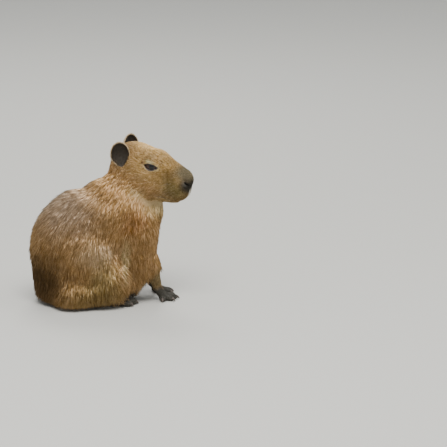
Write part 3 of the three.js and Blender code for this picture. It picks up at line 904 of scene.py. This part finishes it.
def coat_tree():
    tree = bpy.data.node_groups.new("grow_coat", "GeometryNodeTree")
    for name, kind in COAT_INPUTS:
        tree.interface.new_socket(name, in_out="INPUT", socket_type=f"NodeSocket{kind}")
    tree.interface.new_socket("Coat", in_out="OUTPUT", socket_type="NodeSocketGeometry")
    given = add(tree, "NodeGroupInput").outputs
    read, drawn = {}, {}
    for name, kind in READINGS:
        node = add(tree, "GeometryNodeInputNamedAttribute", {"Name": name}, data_type=kind)
        read[name] = node.outputs["Attribute"]
    for name, low, high, salt in CHANCES:
        seed = add(tree, "ShaderNodeMath", {0: given["Seed"], 1: float(salt)}, operation="ADD")
        limits = {2: low, 3: high, "Seed": seed.outputs[0]}
        drawn[name] = add(tree, "FunctionNodeRandomValue", limits, data_type="FLOAT").outputs[1]

    pair = {2: read["band"], 3: given["Band"]}
    here = add(tree, "FunctionNodeCompare", pair, data_type="INT", operation="EQUAL").outputs[0]
    seed = add(tree, "ShaderNodeMath", {0: given["Seed"], 1: given["Band"]}, operation="ADD").outputs[0]
    wanted = {"Mesh": given["Skin"], "Selection": here, "Density": read["close"], "Seed": seed}
    scatter = add(tree, "GeometryNodeDistributePointsOnFaces", wanted).outputs
    normal = scatter["Normal"]

    pair = {0: normal, 1: read["lie"]}
    sideways = add(tree, "ShaderNodeVectorMath", pair, operation="CROSS_PRODUCT").outputs[0]
    pair = {0: drawn["stray"], 1: given["Stray"]}
    stray = add(tree, "ShaderNodeMath", pair, operation="MULTIPLY").outputs[0]
    strayed = add(tree, "ShaderNodeVectorMath", {0: sideways, "Scale": stray}, operation="SCALE").outputs[0]
    way = add(tree, "ShaderNodeVectorMath", {0: read["lie"], 1: strayed}, operation="ADD").outputs[0]
    pair = {"Primary Axis": way, "Secondary Axis": normal}
    turn = add(tree, "FunctionNodeAxesToRotation", pair, primary_axis="X", secondary_axis="Z").outputs[0]
    parts = {}
    for axis, (name, chance) in enumerate((("hair", "length"), ("girth", "width"), ("rise", "height"))):
        pair = {0: read[name], 1: drawn[chance]}
        parts[axis] = add(tree, "ShaderNodeMath", pair, operation="MULTIPLY").outputs[0]
    size = add(tree, "ShaderNodeCombineXYZ", parts).outputs[0]

    stored = {"Geometry": scatter["Points"], "Name": "tone", "Value": drawn["tone"]}
    toned = add(tree, "GeometryNodeStoreNamedAttribute", stored, data_type="FLOAT").outputs[0]
    blade = add(tree, "GeometryNodeObjectInfo", {"Object": given["Tuft"]}).outputs["Geometry"]
    planted = {"Points": toned, "Instance": blade, "Rotation": turn, "Scale": size}
    tufts = add(tree, "GeometryNodeInstanceOnPoints", planted).outputs[0]
    real = add(tree, "GeometryNodeRealizeInstances", {"Geometry": tufts}).outputs[0]
    parts = {}
    for axis, name in enumerate(("along", "tone")):
        pair = {0: read[name], 1: TUFT_PATCH}
        parts[axis] = add(tree, "ShaderNodeMath", pair, operation="MULTIPLY").outputs[0]
    spread = add(tree, "ShaderNodeCombineXYZ", parts).outputs[0]
    spot = add(tree, "ShaderNodeVectorMath", {0: read["OFBake"], 1: spread}, operation="ADD").outputs[0]
    stored = {"Geometry": real, "Name": "OFBake", "Value": spot}
    store = "GeometryNodeStoreNamedAttribute"
    unwrapped = add(tree, store, stored, data_type="FLOAT2", domain="CORNER").outputs[0]
    dressed = {"Geometry": unwrapped, "Material": given["Finish"]}
    finished = add(tree, "GeometryNodeSetMaterial", dressed).outputs[0]
    add(tree, "NodeGroupOutput", {0: finished})
    return tree


growth = coat_tree()
print("nodes that grow the coat:", len(growth.nodes))

# %% [markdown]
# ## Markings and painted light
# Wild hair is banded, so a coat never has one colour: it is greyish where dark bands show, ginger where the
# tips do. The markings are soft-edged patches placed on the animal's own axes, one over another, in one node
# group that skin and coat both use. That way the skin that shows between two tufts has the tufts' colour.
# Some patches hold painted light as well. Nape, crown and flank are painted partly lighter where light falls
# from above, the thigh and the edge of the upper lip have painted highlights, and there is painted shadow on
# the seat and under the belly.

# %% Colours of the body
GROUND = "#b08c5e"
# Each patch: colour, centre and radii in millimetres, how soft its edge is, and its strength
BACK_PATCHES = [
    ("#b39c84", (-94, 0, 186), (100, 150, 92), 0.8, 0.85),  # greyish loins
    ("#45300f", (-140, 0, 50), (76, 160, 104), 0.85, 1.0),  # painted shadow low on the seat
    ("#5d4728", (-20, 0, 10), (130, 150, 34), 0.7, 0.7),  # painted shade under the belly
    ("#cda470", (0, 0, 226), (80, 110, 48), 0.9, 0.85),  # ginger nape and withers, partly painted light falling from above
]
SIDE_PATCHES = [
    ("#a1713f", (30, 70, 168), (46, 60, 40), 0.9, 0.7),  # ginger shoulder
    ("#d0b692", (-48, 90, 112), (66, 54, 38), 0.9, 0.7),  # pale flank: pale hair, and painted light where the flank is lit
    ("#aa9462", (-36, 95, 58), (56, 45, 60), 0.9, 0.65),  # thigh
    ("#8a7346", (-50, 95, 26), (96, 50, 40), 0.8, 0.75),  # olive shade of the thigh
    ("#e6d3a4", (12, 80, 96), (14, 44, 62), 0.9, 0.6),  # painted highlight along the front edge of the thigh
]
FRONT_PATCHES = [
    ("#b5a172", (88, -30, 196), (56, 62, 44), 0.9, 0.75),  # throat
    ("#7d5b2c", (98, 0, 120), (34, 90, 66), 0.9, 0.8),  # dark breast
    ("#5f5d40", (80, 0, 46), (36, 70, 46), 0.6, 0.95),  # olive forelegs
]
# The side patches lie on the right first, then on the left
pairs = [(shade, (x, y * s, z), *rest) for shade, (x, y, z), *rest in SIDE_PATCHES for s in (-1, 1)]
BODY_PATCHES = BACK_PATCHES + pairs + FRONT_PATCHES
print("patches on the body:", len(BODY_PATCHES))

# %% Colours of the head and feet
# On the head's axes: forward, left and up from between the eyes
HEAD_PATCHES = [
    ("#a38451", (0, 0, -5), (92, 70, 62), 0.5, 0.85),  # the head as a whole
    ("#ecc481", (-22, 0, 36), (58, 38, 22), 0.9, 0.95),  # light brow and crown: lighter hair, and a painted highlight from above
    ("#c9bb8e", (-14, 0, -58), (48, 72, 24), 0.9, 0.8),  # pale cheeks
    ("#644c23", (32, 0, -15), (50, 60, 30), 0.8, 0.9),  # brown before and under the eye
    ("#625730", (56, 0, -34), (48, 70, 36), 0.7, 0.95),  # olive upper lip
    ("#6b6149", (72, 0, 0), (44, 46, 28), 0.6, 0.95),  # greyish bridge of the muzzle
    ("#2b271d", (74, 0, -21), (22, 44, 22), 0.55, 1.0),  # dark nose and what lies under the nostrils
    ("#d8cfbd", (85, 2, -38), (14, 15, 17), 0.7, 0.95),  # white edge of the upper lip: pale skin, and a painted highlight on it
]
# The same, but sideways from the middle of the eye
EYE_PATCHES = [
    ("#cfb984", (3, 11, 1), (22, 17, 10), 0.7, 0.8),  # pale ring round the lids
    ("#ccbd8e", (-4, 11, 10), (14, 16, 6), 0.8, 0.85),  # paler above the hind half of the eye
    ("#5d3520", (-18, 8, 4), (6, 12, 5), 0.9, 0.95),  # brown hind corner
]
# Centre, by the side's sign, and radii of the space about a hind and a fore foot
FOOT_SPACES = [((-30, 58, 8), (88, 30, 26)), ((104, 30, 8), (46, 36, 34))]
FOOT_GREY = "#433f36"
BOWL_DARK = "#2f2517"
EDGE_PALE = "#cdb894"
print("patches on the head:", len(HEAD_PATCHES), "and about each eye:", len(EYE_PATCHES))

# %% Patches as nodes


def linear(hex_code):
    """An sRGB hex colour as the linear RGBA that sockets hold."""
    parts = [int(hex_code[i : i + 2], 16) / 255 for i in (1, 3, 5)]
    return tuple(c / 12.92 if c <= 0.04045 else ((c + 0.055) / 1.055) ** 2.4 for c in parts) + (1.0,)


def radii_away(tree, where, centre, radii):
    """How many radii a place lies from a centre."""
    pair = {0: where, 1: tuple(c * MM for c in centre)}
    away = add(tree, "ShaderNodeVectorMath", pair, operation="SUBTRACT").outputs[0]
    pair = {0: away, 1: tuple(r * MM for r in radii)}
    scaled = add(tree, "ShaderNodeVectorMath", pair, operation="DIVIDE").outputs[0]
    return add(tree, "ShaderNodeVectorMath", {0: scaled}, operation="LENGTH").outputs["Value"]


def patch(tree, colour, where, row):
    """Another colour laid softly over what is there."""
    shade, centre, radii, soft, strength = row
    edge = {"From Min": 1.0, "From Max": 1 - soft, "To Max": strength}
    edge["Value"] = radii_away(tree, where, centre, radii)
    mask = add(tree, "ShaderNodeMapRange", edge, interpolation_type="SMOOTHSTEP").outputs["Result"]
    return add(tree, "ShaderNodeMix", {0: mask, 6: colour, 7: linear(shade)}, data_type="RGBA").outputs[2]


def on_head_axes(tree, where):
    pair = {0: where, 1: tuple(EYE_LINE * MM)}
    centred = add(tree, "ShaderNodeVectorMath", pair, operation="SUBTRACT").outputs[0]
    parts = {}
    for n, axis in enumerate(HEAD_AXES.T):
        onto = add(tree, "ShaderNodeVectorMath", {0: centred, 1: tuple(axis)}, operation="DOT_PRODUCT")
        parts[n] = onto.outputs["Value"]
    return add(tree, "ShaderNodeCombineXYZ", parts).outputs[0]


def feet_mask(tree, own):
    """1 low on the four feet, from where they stand, and 0 on the rest."""
    spans = []
    for s in SIDES.values():
        for (x, y, z), radii in FOOT_SPACES:
            spans.append(radii_away(tree, own, (x, y * s, z), radii))
    least = spans[0]
    for span in spans[1:]:
        least = add(tree, "ShaderNodeMath", {0: least, 1: span}, operation="MINIMUM").outputs[0]
    height = add(tree, "ShaderNodeSeparateXYZ", {0: own}).outputs["Z"]
    masks = {}
    for n, (value, start, end) in enumerate(((height, 36 * MM, 20 * MM), (least, 1.1, 0.85))):
        edge = {"Value": value, "From Min": start, "From Max": end}
        masks[n] = add(tree, "ShaderNodeMapRange", edge, interpolation_type="SMOOTHSTEP").outputs["Result"]
    return add(tree, "ShaderNodeMath", masks, operation="MULTIPLY").outputs[0]


print("patches in all:", len(BODY_PATCHES) + len(HEAD_PATCHES) + len(SIDES) * len(EYE_PATCHES))

# %% The markings as one group


def markings_and_light_tree():
    tree = bpy.data.node_groups.new("markings_and_light", "ShaderNodeTree")
    tree.interface.new_socket("Colour", in_out="OUTPUT", socket_type="NodeSocketColor")
    place = add(tree, "ShaderNodeTexCoord").outputs["Object"]
    pair = {0: place, 1: tuple(SHIFT * MM)}
    own = add(tree, "ShaderNodeVectorMath", pair, operation="SUBTRACT").outputs[0]
    wobble = {"Vector": own, "Scale": 28.0, "Detail": 3.0, "Roughness": 0.6}
    pair = {0: add(tree, "ShaderNodeTexNoise", wobble).outputs["Color"], 1: (0.5, 0.5, 0.5)}
    swing = add(tree, "ShaderNodeVectorMath", pair, operation="SUBTRACT").outputs[0]
    drift = add(tree, "ShaderNodeVectorMath", {0: swing, "Scale": 0.035}, operation="SCALE").outputs[0]
    drifted = add(tree, "ShaderNodeVectorMath", {0: own, 1: drift}, operation="ADD").outputs[0]
    steady = on_head_axes(tree, own)
    less = add(tree, "ShaderNodeVectorMath", {0: drift, "Scale": 0.35}, operation="SCALE").outputs[0]
    head = add(tree, "ShaderNodeVectorMath", {0: steady, 1: less}, operation="ADD").outputs[0]
    colour = add(tree, "ShaderNodeRGB").outputs[0]
    colour.default_value = linear(GROUND)
    for row in BODY_PATCHES:
        colour = patch(tree, colour, drifted, row)
    for row in HEAD_PATCHES:
        colour = patch(tree, colour, head, row)
    for s in SIDES.values():
        for shade, (x, beside, z), *rest in EYE_PATCHES:
            row = (shade, (x, (EYE_SIDE + beside) * s, z), *rest)
            colour = patch(tree, colour, steady, row)
    masks = [(feet_mask(tree, drifted), FOOT_GREY)]
    for name, shade in (("ear_edge", EDGE_PALE), ("in_bowl", BOWL_DARK)):
        masks.append((add(tree, "ShaderNodeAttribute", attribute_name=name).outputs["Fac"], shade))
    for mask, shade in masks:
        pair = {0: mask, 6: colour, 7: linear(shade)}
        colour = add(tree, "ShaderNodeMix", pair, data_type="RGBA").outputs[2]
    add(tree, "NodeGroupOutput", {0: colour})
    return tree


markings_and_light = markings_and_light_tree()
print("nodes in the markings:", len(markings_and_light.nodes))

# %% [markdown]
# ## Finishes
# Hair is keratin: a dull sheen along each strand, no metal, roughness about 0.6. The tufts are darker at
# their roots and differ in tone from one to the next. The skin beneath is leathery with fine grain. The
# insides of the ears are nearly bare, so the markings darken them.

# %% A shader to start from, and a grained colour


def finish(name, constants):
    """A material with one shader, which holds these constants."""
    made = bpy.data.materials.new(name)
    made.use_nodes = True
    tree = made.node_tree
    tree.nodes.clear()
    shader = add(tree, "ShaderNodeBsdfPrincipled", constants)
    add(tree, "ShaderNodeOutputMaterial", {"Surface": shader.outputs[0]})
    return made, tree, shader


def grained(tree, dark, light, grain):
    """A fine noise, and a colour that goes with it from the dark one to the light one."""
    place = add(tree, "ShaderNodeTexCoord").outputs["Object"]
    noise = add(tree, "ShaderNodeTexNoise", {"Vector": place, **grain}).outputs[0]
    pair = {0: noise, 6: linear(dark), 7: linear(light)}
    return noise, add(tree, "ShaderNodeMix", pair, data_type="RGBA").outputs[2]


print("every finish starts from one shader")

# %% Hair and skin


# Dull coarse hair: light and dark tufts side by side, dark roots, pale tips, and broad clumps of tone
def hair_finish():
    made, tree, shader = finish("coarse_hair", {"Roughness": 0.62, "Specular IOR Level": 0.25})
    tone = add(tree, "ShaderNodeAttribute", attribute_name="tone").outputs["Fac"]
    along = add(tree, "ShaderNodeAttribute", attribute_name="along").outputs["Fac"]
    place = add(tree, "ShaderNodeTexCoord").outputs["Object"]
    bent = add(tree, "ShaderNodeMath", {0: tone, 1: 1.5}, operation="POWER").outputs[0]
    clump = add(tree, "ShaderNodeTexNoise", {"Vector": place, "Scale": 75.0, "Detail": 2.0}).outputs[0]
    spans = {"of_tuft": {"Value": bent, "To Min": 0.6, "To Max": 1.75}}
    spans["of_root"] = {"Value": along, "To Min": 0.5, "To Max": 1.2}
    spans["of_clump"] = {"Value": clump, "From Min": 0.3, "From Max": 0.7, "To Min": 0.86, "To Max": 1.12}
    spans["cream"] = {"Value": tone, "To Min": 1.2, "To Max": 0.88}
    got = {name: add(tree, "ShaderNodeMapRange", span).outputs["Result"] for name, span in spans.items()}
    pair = {0: got["of_tuft"], 1: got["of_root"]}
    value = add(tree, "ShaderNodeMath", pair, operation="MULTIPLY").outputs[0]
    value = add(tree, "ShaderNodeMath", {0: value, 1: got["of_clump"]}, operation="MULTIPLY").outputs[0]
    marked = add(tree, "ShaderNodeGroup", node_tree=markings_and_light).outputs[0]
    changes = {"Saturation": got["cream"], "Value": value, "Color": marked}
    colour = add(tree, "ShaderNodeHueSaturation", changes)
    tree.links.new(colour.outputs[0], shader.inputs["Base Color"])
    return made


# Darker leathery skin with a fine grain, partly painted shade, so that gaps in the coat read as depth
def skin_finish():
    made, tree, shader = finish("furred_skin", {"Roughness": 0.7})
    place = add(tree, "ShaderNodeTexCoord").outputs["Object"]
    grain = add(tree, "ShaderNodeTexNoise", {"Vector": place, "Scale": 900.0, "Detail": 4.0}).outputs[0]
    # The grain also darkens the skin below the markings: painted shade for the gaps between tufts
    span = {"Value": grain, "From Min": 0.3, "From Max": 0.7, "To Min": 0.5, "To Max": 0.86}
    shade = add(tree, "ShaderNodeMapRange", span).outputs["Result"]
    marked = add(tree, "ShaderNodeGroup", node_tree=markings_and_light).outputs[0]
    colour = add(tree, "ShaderNodeHueSaturation", {"Value": shade, "Color": marked})
    tree.links.new(colour.outputs[0], shader.inputs["Base Color"])
    bump = add(tree, "ShaderNodeBump", {"Height": grain, "Strength": 0.5, "Distance": 0.0006})
    tree.links.new(bump.outputs[0], shader.inputs["Normal"])
    return made


hair_material = hair_finish()
skin.data.materials.append(skin_finish())
print("materials:", hair_material.name, skin.data.materials[0].name)

# %% Grow the bands
STRAY = 0.26  # how far a tuft may lean from the lie of the hair
SEED = 7
sockets = {item.name: item.identifier for item in growth.interface.items_tree if item.in_out == "INPUT"}


def plain_copy(source, name, modifier):
    """What a modifier makes of a piece, as a mesh of its own."""
    graph = bpy.context.evaluated_depsgraph_get()
    shown = source.evaluated_get(graph)
    mesh = bpy.data.meshes.new_from_object(shown, preserve_all_data_layers=True, depsgraph=graph)
    source.modifiers.remove(modifier)
    mesh.name = name
    return placed(name, mesh)


def grow(number):
    modifier = skin.modifiers.new("coat", "NODES")
    modifier.node_group = growth
    values = {"Band": number, "Tuft": tuft, "Finish": hair_material, "Stray": STRAY, "Seed": SEED}
    for name, value in values.items():
        modifier[sockets[name]] = value
    made = plain_copy(skin, f"coat_{number + 1}", modifier)
    for spare in ("lie", "hair", "girth", "rise", "close", "band"):
        found = made.data.attributes.get(spare)
        if found:
            made.data.attributes.remove(found)
    return made


coats = [grow(number) for number in range(BANDS)]
bpy.data.objects.remove(tuft)
for coat in coats:
    triangles = sum(len(f.vertices) - 2 for f in coat.data.polygons)
    print(coat.name, "triangles:", triangles, [layer.name for layer in coat.data.uv_layers])

# %% [markdown]
# ## Eyes
# The eye is a wet ball, nearly black: a deep brown iris round a black pupil, under a clear cornea. One ball
# makes it. Iris and pupil are its painted colour, and the cornea is a clear coat over them. Dark moist rims
# run round the lids.

# %% Balls and tubes


def face_out(obj):
    work = bmesh.new()
    work.from_mesh(obj.data)
    bmesh.ops.recalc_face_normals(work, faces=work.faces)
    work.to_mesh(obj.data)
    work.free()
    return obj


def eyeball(name, centre, radius, rings, steps, pole):
    """A ball with its poles along a given direction."""
    pole = unit(np.array(pole, float))
    side = unit(np.cross(pole, [0.0, 0.0, 1.0]))
    other = np.cross(pole, side)
    points, faces = [centre + pole * radius], []
    for r in range(1, rings):
        angle = math.pi * r / rings
        for k in range(steps):
            turn = 2 * math.pi * k / steps
            around = math.cos(turn) * side + math.sin(turn) * other
            points.append(centre + radius * (math.cos(angle) * pole + math.sin(angle) * around))
    points.append(centre - pole * radius)
    end = len(points) - 1
    last = 1 + (rings - 2) * steps
    for k in range(steps):
        n = (k + 1) % steps
        faces.append((0, 1 + k, 1 + n))
        for r in range(rings - 2):
            a, b = 1 + r * steps, 1 + (r + 1) * steps
            faces.append((a + k, b + k, b + n, a + n))
        faces.append((last + k, end, last + n))
    return face_out(mesh_object(name, np.array(points), faces))


def tube(name, path, radii, sides=8, closed=False):
    """A round tube along a path, its radius given at each point."""
    path = np.asarray(path)
    total = len(path)
    points, faces = [], []
    normal = None
    for i, p in enumerate(path):
        ahead = path[(i + 1) % total] if closed or i < total - 1 else p
        behind = path[i - 1] if closed or i > 0 else p
        along = unit(ahead - behind)
        if normal is None:
            normal = np.cross(along, [0.3, 0.2, 0.9])
        normal = unit(normal - (normal @ along) * along)
        other = np.cross(along, normal)
        for k in range(sides):
            turn = 2 * math.pi * k / sides
            points.append(p + radii[i] * (math.cos(turn) * normal + math.sin(turn) * other))
    for i in range(total if closed else total - 1):
        for k in range(sides):
            a, b = i * sides + k, i * sides + (k + 1) % sides
            c, d = ((i + 1) % total) * sides + k, ((i + 1) % total) * sides + (k + 1) % sides
            faces.append((a, b, d, c))
    if not closed:
        faces.append(tuple(range(sides))[::-1])
        faces.append(tuple(range((total - 1) * sides, total * sides)))
    return face_out(mesh_object(name, points, faces))


# %% Eyeballs and the dark rims of the lids
EYE_RINGS, EYE_STEPS = 28, 48
RIM_POINTS = 24  # along the upper lid, and again along the lower one
RIM_RADIUS = 1.15
PUPIL_RADII = (4.6 * MM, 6.0 * MM)  # where its black ends, and where the iris is clear


# A wet dark ball: brown streaked iris, black pupil, and sharp highlights on the clear coat
def eye_finish(side):
    wet = {"Roughness": 0.25, "Specular IOR Level": 0.2, "IOR": 1.376}
    wet.update({"Coat Weight": 0.6, "Coat Roughness": 0.03})
    made, tree, shader = finish(f"wet_eye_{side}", wet)
    iris = grained(tree, "#1c120c", "#3a2415", {"Scale": 700.0, "Detail": 3.0})[1]
    pupil = to_frame(on_head(3, (EYE_SIDE + EYE_RADIUS) * SIDES[side], EYE_RISE))
    pair = {0: add(tree, "ShaderNodeTexCoord").outputs["Object"], 1: tuple(pupil)}
    edge = {"From Min": PUPIL_RADII[0], "From Max": PUPIL_RADII[1]}
    edge["Value"] = add(tree, "ShaderNodeVectorMath", pair, operation="DISTANCE").outputs["Value"]
    hole = add(tree, "ShaderNodeMapRange", edge, interpolation_type="SMOOTHSTEP").outputs["Result"]
    pair = {0: hole, 6: linear("#050404"), 7: iris}
    colour = add(tree, "ShaderNodeMix", pair, data_type="RGBA").outputs[2]
    tree.links.new(colour, shader.inputs["Base Color"])
    return made


# Moist dark skin, which draws the almond shape of the eye
def rim_finish():
    made, tree, shader = finish("moist_lid_rim", {"Roughness": 0.32})
    colour = grained(tree, "#17110e", "#33251d", {"Scale": 1400.0, "Detail": 2.0})[1]
    tree.links.new(colour, shader.inputs["Base Color"])
    return made


def rim_path(s):
    """The edge of the lids, on the ball, as a loop."""
    (x0, z0), (x1, z1) = FISSURE["back"], FISSURE["front"]
    forth = np.linspace(0.02, 0.98, RIM_POINTS)
    back = np.linspace(0.98, 0.02, RIM_POINTS)
    points = []
    for bulge, shares in ((FISSURE["above"], forth), (-FISSURE["below"], back)):
        for t in shares:
            x = x0 + (x1 - x0) * t
            z = z0 + (z1 - z0) * t + bulge * 4 * t * (1 - t)
            radius = EYE_RADIUS + 0.9
            y = EYE_SIDE + math.sqrt(max(radius**2 - x * x - z * z, 4.0))
            points.append(on_head(x, y * s, z + EYE_RISE))
    return np.array(points)


eyes, rims = {}, {}
rim_material = rim_finish()
for side, s in SIDES.items():
    centre, pole = on_head(0, EYE_SIDE * s, EYE_RISE), HEAD_AXES @ np.array([0.15, s, 0])
    eyes[side] = eyeball(f"eyeball_{side}", centre, EYE_RADIUS, EYE_RINGS, EYE_STEPS, pole)
    eyes[side].data.materials.append(eye_finish(side))
    radii = [RIM_RADIUS] * (2 * RIM_POINTS)
    rims[side] = tube(f"lid_rim_{side}", rim_path(s), radii, closed=True)
    rims[side].data.materials.append(rim_material)
print("eyes and rims:", len(eyes), len(rims))

# %% [markdown]
# ## Claws
# A capybara's claws are short, thick and blunt, almost hooves: four in front, three behind, each growing out
# of the end of its toe and worn flat where it meets the ground.

# %% Claws at the ends of the toes
CLAW_LENGTH = 10.0


# Worn horn: brownish grey ridges, shiny in places and dull in others
def claw_finish():
    made, tree, shader = finish("worn_horn", {})
    grain = {"Scale": 420.0, "Detail": 4.0, "Distortion": 1.2}
    ridges, colour = grained(tree, "#1f1a18", "#57493e", grain)
    tree.links.new(colour, shader.inputs["Base Color"])
    rough = add(tree, "ShaderNodeMapRange", {"Value": ridges, "To Min": 0.32, "To Max": 0.6})
    tree.links.new(rough.outputs["Result"], shader.inputs["Roughness"])
    bump = add(tree, "ShaderNodeBump", {"Height": ridges, "Strength": 0.6, "Distance": 0.0004})
    tree.links.new(bump.outputs[0], shader.inputs["Normal"])
    return made


def claw(name, tip, root, radius):
    """A tapered, slightly hooked cone from inside the toe's end down to the ground."""
    tip, root = np.array(tip, float), np.array(root, float)
    way = tip - root
    way[2] = 0
    way = unit(way)
    path, radii = [], []
    for t in np.linspace(0, 1, 10):
        p = tip + way * (1.0 + CLAW_LENGTH * t)
        hook = 1.2 * math.sin(math.pi * min(t * 1.2, 1))
        p[2] = max(tip[2] + hook - (tip[2] - 1.6) * t * t, 1.2)
        path.append(p)
        radii.append(max(radius * (1 - t**1.6) ** 0.7, 0.35))
    return tube(name, path, radii, 12)


horn = claw_finish()
claws = []
for side, s in SIDES.items():
    for foot, limb, root, radius in (
        ("fore", foreleg(s), "palm", 3.4),
        ("hind", hindleg(s), "ball", 4.3),
    ):
        for n, toe in enumerate(limb["toes"], 1):
            made = claw(f"nail_{foot}_{side}_{n}", toe, limb[root], radius)
            made.data.materials.append(horn)
            claws.append((made, f"claw_{foot}_{side}_{n}"))
print("claws:", len(claws))

# %% [markdown]
# ## Whiskers
# Stiff, thin and pale in places, they stand out sideways from the upper lip and bend back and down. Each is a
# tapered tube that starts inside the muzzle.

# %% Whiskers
WHISKER_ROWS, WHISKERS_IN_ROW = 4, 5
WHISKER_STEPS, WHISKER_SIDES = 8, 4
WHISKER_LENGTH = (26, 44)  # shortest and longest
WHISKER_BEND = 0.35


def whisker(start, way, length, base):
    """Corners and faces of one whisker, when that many corners came before it."""
    droop = HEAD_AXES @ np.array([-0.5, 0, -0.3])
    across = unit(np.cross(way, [0, 0, 1.0]))
    up = np.cross(across, way)
    points, faces = [], []
    for i in range(WHISKER_STEPS):
        t = i / (WHISKER_STEPS - 1)
        p = start + way * length * t + droop * length * WHISKER_BEND * t * t
        radius = 0.26 * (1 - t) + 0.05
        for k in range(WHISKER_SIDES):
            turn = 2 * math.pi * k / WHISKER_SIDES
            points.append(p + radius * (math.cos(turn) * across + math.sin(turn) * up))
    for i in range(WHISKER_STEPS - 1):
        for k in range(WHISKER_SIDES):
            a = base + i * WHISKER_SIDES + k
            b = base + i * WHISKER_SIDES + (k + 1) % WHISKER_SIDES
            faces.append((a, b, b + WHISKER_SIDES, a + WHISKER_SIDES))
    faces.append(tuple(base + k for k in range(WHISKER_SIDES))[::-1])
    faces.append(tuple(base + (WHISKER_STEPS - 1) * WHISKER_SIDES + k for k in range(WHISKER_SIDES)))
    return points, faces


def whiskers():
    rng = np.random.default_rng(12)
    points, faces = [], []
    for s in SIDES.values():
        for row in range(WHISKER_ROWS):
            for n in range(WHISKERS_IN_ROW):
                x = 62 - 7.5 * n + rng.uniform(-1.5, 1.5)
                z = -20 - 6.0 * row + rng.uniform(-1.2, 1.2)
                rise = -0.12 - 0.1 * row + rng.uniform(-0.12, 0.12)
                way = unit(HEAD_AXES @ np.array([-0.25 - 0.1 * n, 1.0 * s, rise]))
                length = rng.uniform(*WHISKER_LENGTH)
                more = whisker(on_head(x, 16 * s, z), way, length, len(points))
                points += more[0]
                faces += more[1]
    return face_out(mesh_object("whiskers", points, faces))


# Stiff glossy bristles, partly dark and partly straw
def whisker_finish():
    made, tree, shader = finish("whisker_hair", {"Roughness": 0.4})
    colour = grained(tree, "#3a2f27", "#9a8360", {"Scale": 60.0})[1]
    tree.links.new(colour, shader.inputs["Base Color"])
    return made


whisker_piece = whiskers()
whisker_piece.data.materials.append(whisker_finish())
print("whiskers:", len(SIDES) * WHISKER_ROWS * WHISKERS_IN_ROW)

# %% [markdown]
# ## Each piece and what it stands for
# One skin with its coat stands for every node of flesh. Eyeballs and nails each stand for their own node. All
# of it rides on the one body, since the animal is a still model.

# %% Riding and replacing
PAIRED = ("ear", "haunch", "foreleg", "forefoot", "hindfoot")
FLESH = ["torso", "neck", "head"] + [f"{name}_{side}" for name in PAIRED for side in SIDES]
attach(skin, "root")
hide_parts(*FLESH)
for coat in coats:
    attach(coat, "root")
for side in SIDES:
    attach(eyes[side], "root")
    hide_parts(f"eye_{side}")
    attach(rims[side], "root")
for made, node in claws:
    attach(made, "root")
    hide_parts(node)
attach(whisker_piece, "root")
print("nodes replaced:", len(FLESH) + len(eyes) + len(claws))

# %% [markdown]
# ## Floor, light and camera
# A pale floor, one large soft light high in front and to the left, a weaker one opposite, a third from
# behind, and an even pale sky. The camera stands some way off with a long lens, 13 degrees above the animal,
# 12 degrees behind square to its right side, and keeps the animal at the left of the frame, as in the
# photograph.

# %% Stage
HALF = 6.0  # half the floor's side, in metres
floor_mesh = bpy.data.meshes.new("floor")
floor_corners = [(-HALF, -HALF, 0), (HALF, -HALF, 0), (HALF, HALF, 0), (-HALF, HALF, 0)]
floor_mesh.from_pydata(floor_corners, [], [(0, 1, 2, 3)])
floor = placed("floor", floor_mesh)
# A dull pale ground, against which the dark coat stands out
floor_mesh.materials.append(finish("pale_floor", {"Base Color": linear("#b4b2ab"), "Roughness": 0.85})[0])


def soft_light(name, place, aim, power, size):
    data = bpy.data.lights.new(name, "AREA")
    data.energy, data.size = power, size
    made = placed(name, data)
    made.location = place
    made.rotation_euler = (Vector(aim) - Vector(place)).to_track_quat("-Z", "Y").to_euler()


soft_light("key", (-0.3, -1.7, 2.9), (0, 0, 0.15), 150, 1.8)
soft_light("fill", (2.4, -1.2, 1.2), (0, 0, 0.15), 26, 1.8)
soft_light("rim", (0.3, 2.2, 2.4), (0, 0, 0.2), 60, 1.4)
world = bpy.data.worlds.new("studio")
world.use_nodes = True
sky = world.node_tree.nodes["Background"].inputs
sky["Color"].default_value = linear("#dfe3e6")
sky["Strength"].default_value = 1.0
bpy.context.scene.world = world
print("lights:", len(bpy.data.lights))

# %% Camera
VIEW_TURN, VIEW_RISE = math.radians(12), math.radians(13)
FRAME_PIXELS = 447
MM_PER_PIXEL = 2.0
MIDDLE_ACROSS, MIDDLE_UP = 223.0, 151.0
DISTANCE = 8.0
SENSOR = 36.0
across = np.array([math.cos(VIEW_TURN), -math.sin(VIEW_TURN), 0])
target = to_frame(across * MIDDLE_ACROSS + np.array([0, 0, MIDDLE_UP / math.cos(VIEW_RISE)]))
outward = np.array([-math.sin(VIEW_TURN), -math.cos(VIEW_TURN), 0])
away = outward * math.cos(VIEW_RISE) + np.array([0, 0, math.sin(VIEW_RISE)])
camera = placed("camera", bpy.data.cameras.new("camera"))
camera.data.sensor_width = SENSOR
camera.data.lens = SENSOR * DISTANCE / (FRAME_PIXELS * MM_PER_PIXEL * MM)
camera.data.clip_end = 60
camera.location = target + away * DISTANCE
camera.rotation_euler = Vector(-away).to_track_quat("-Z", "Y").to_euler()
bpy.context.scene.camera = camera
print("lens:", round(camera.data.lens, 1), "mm")
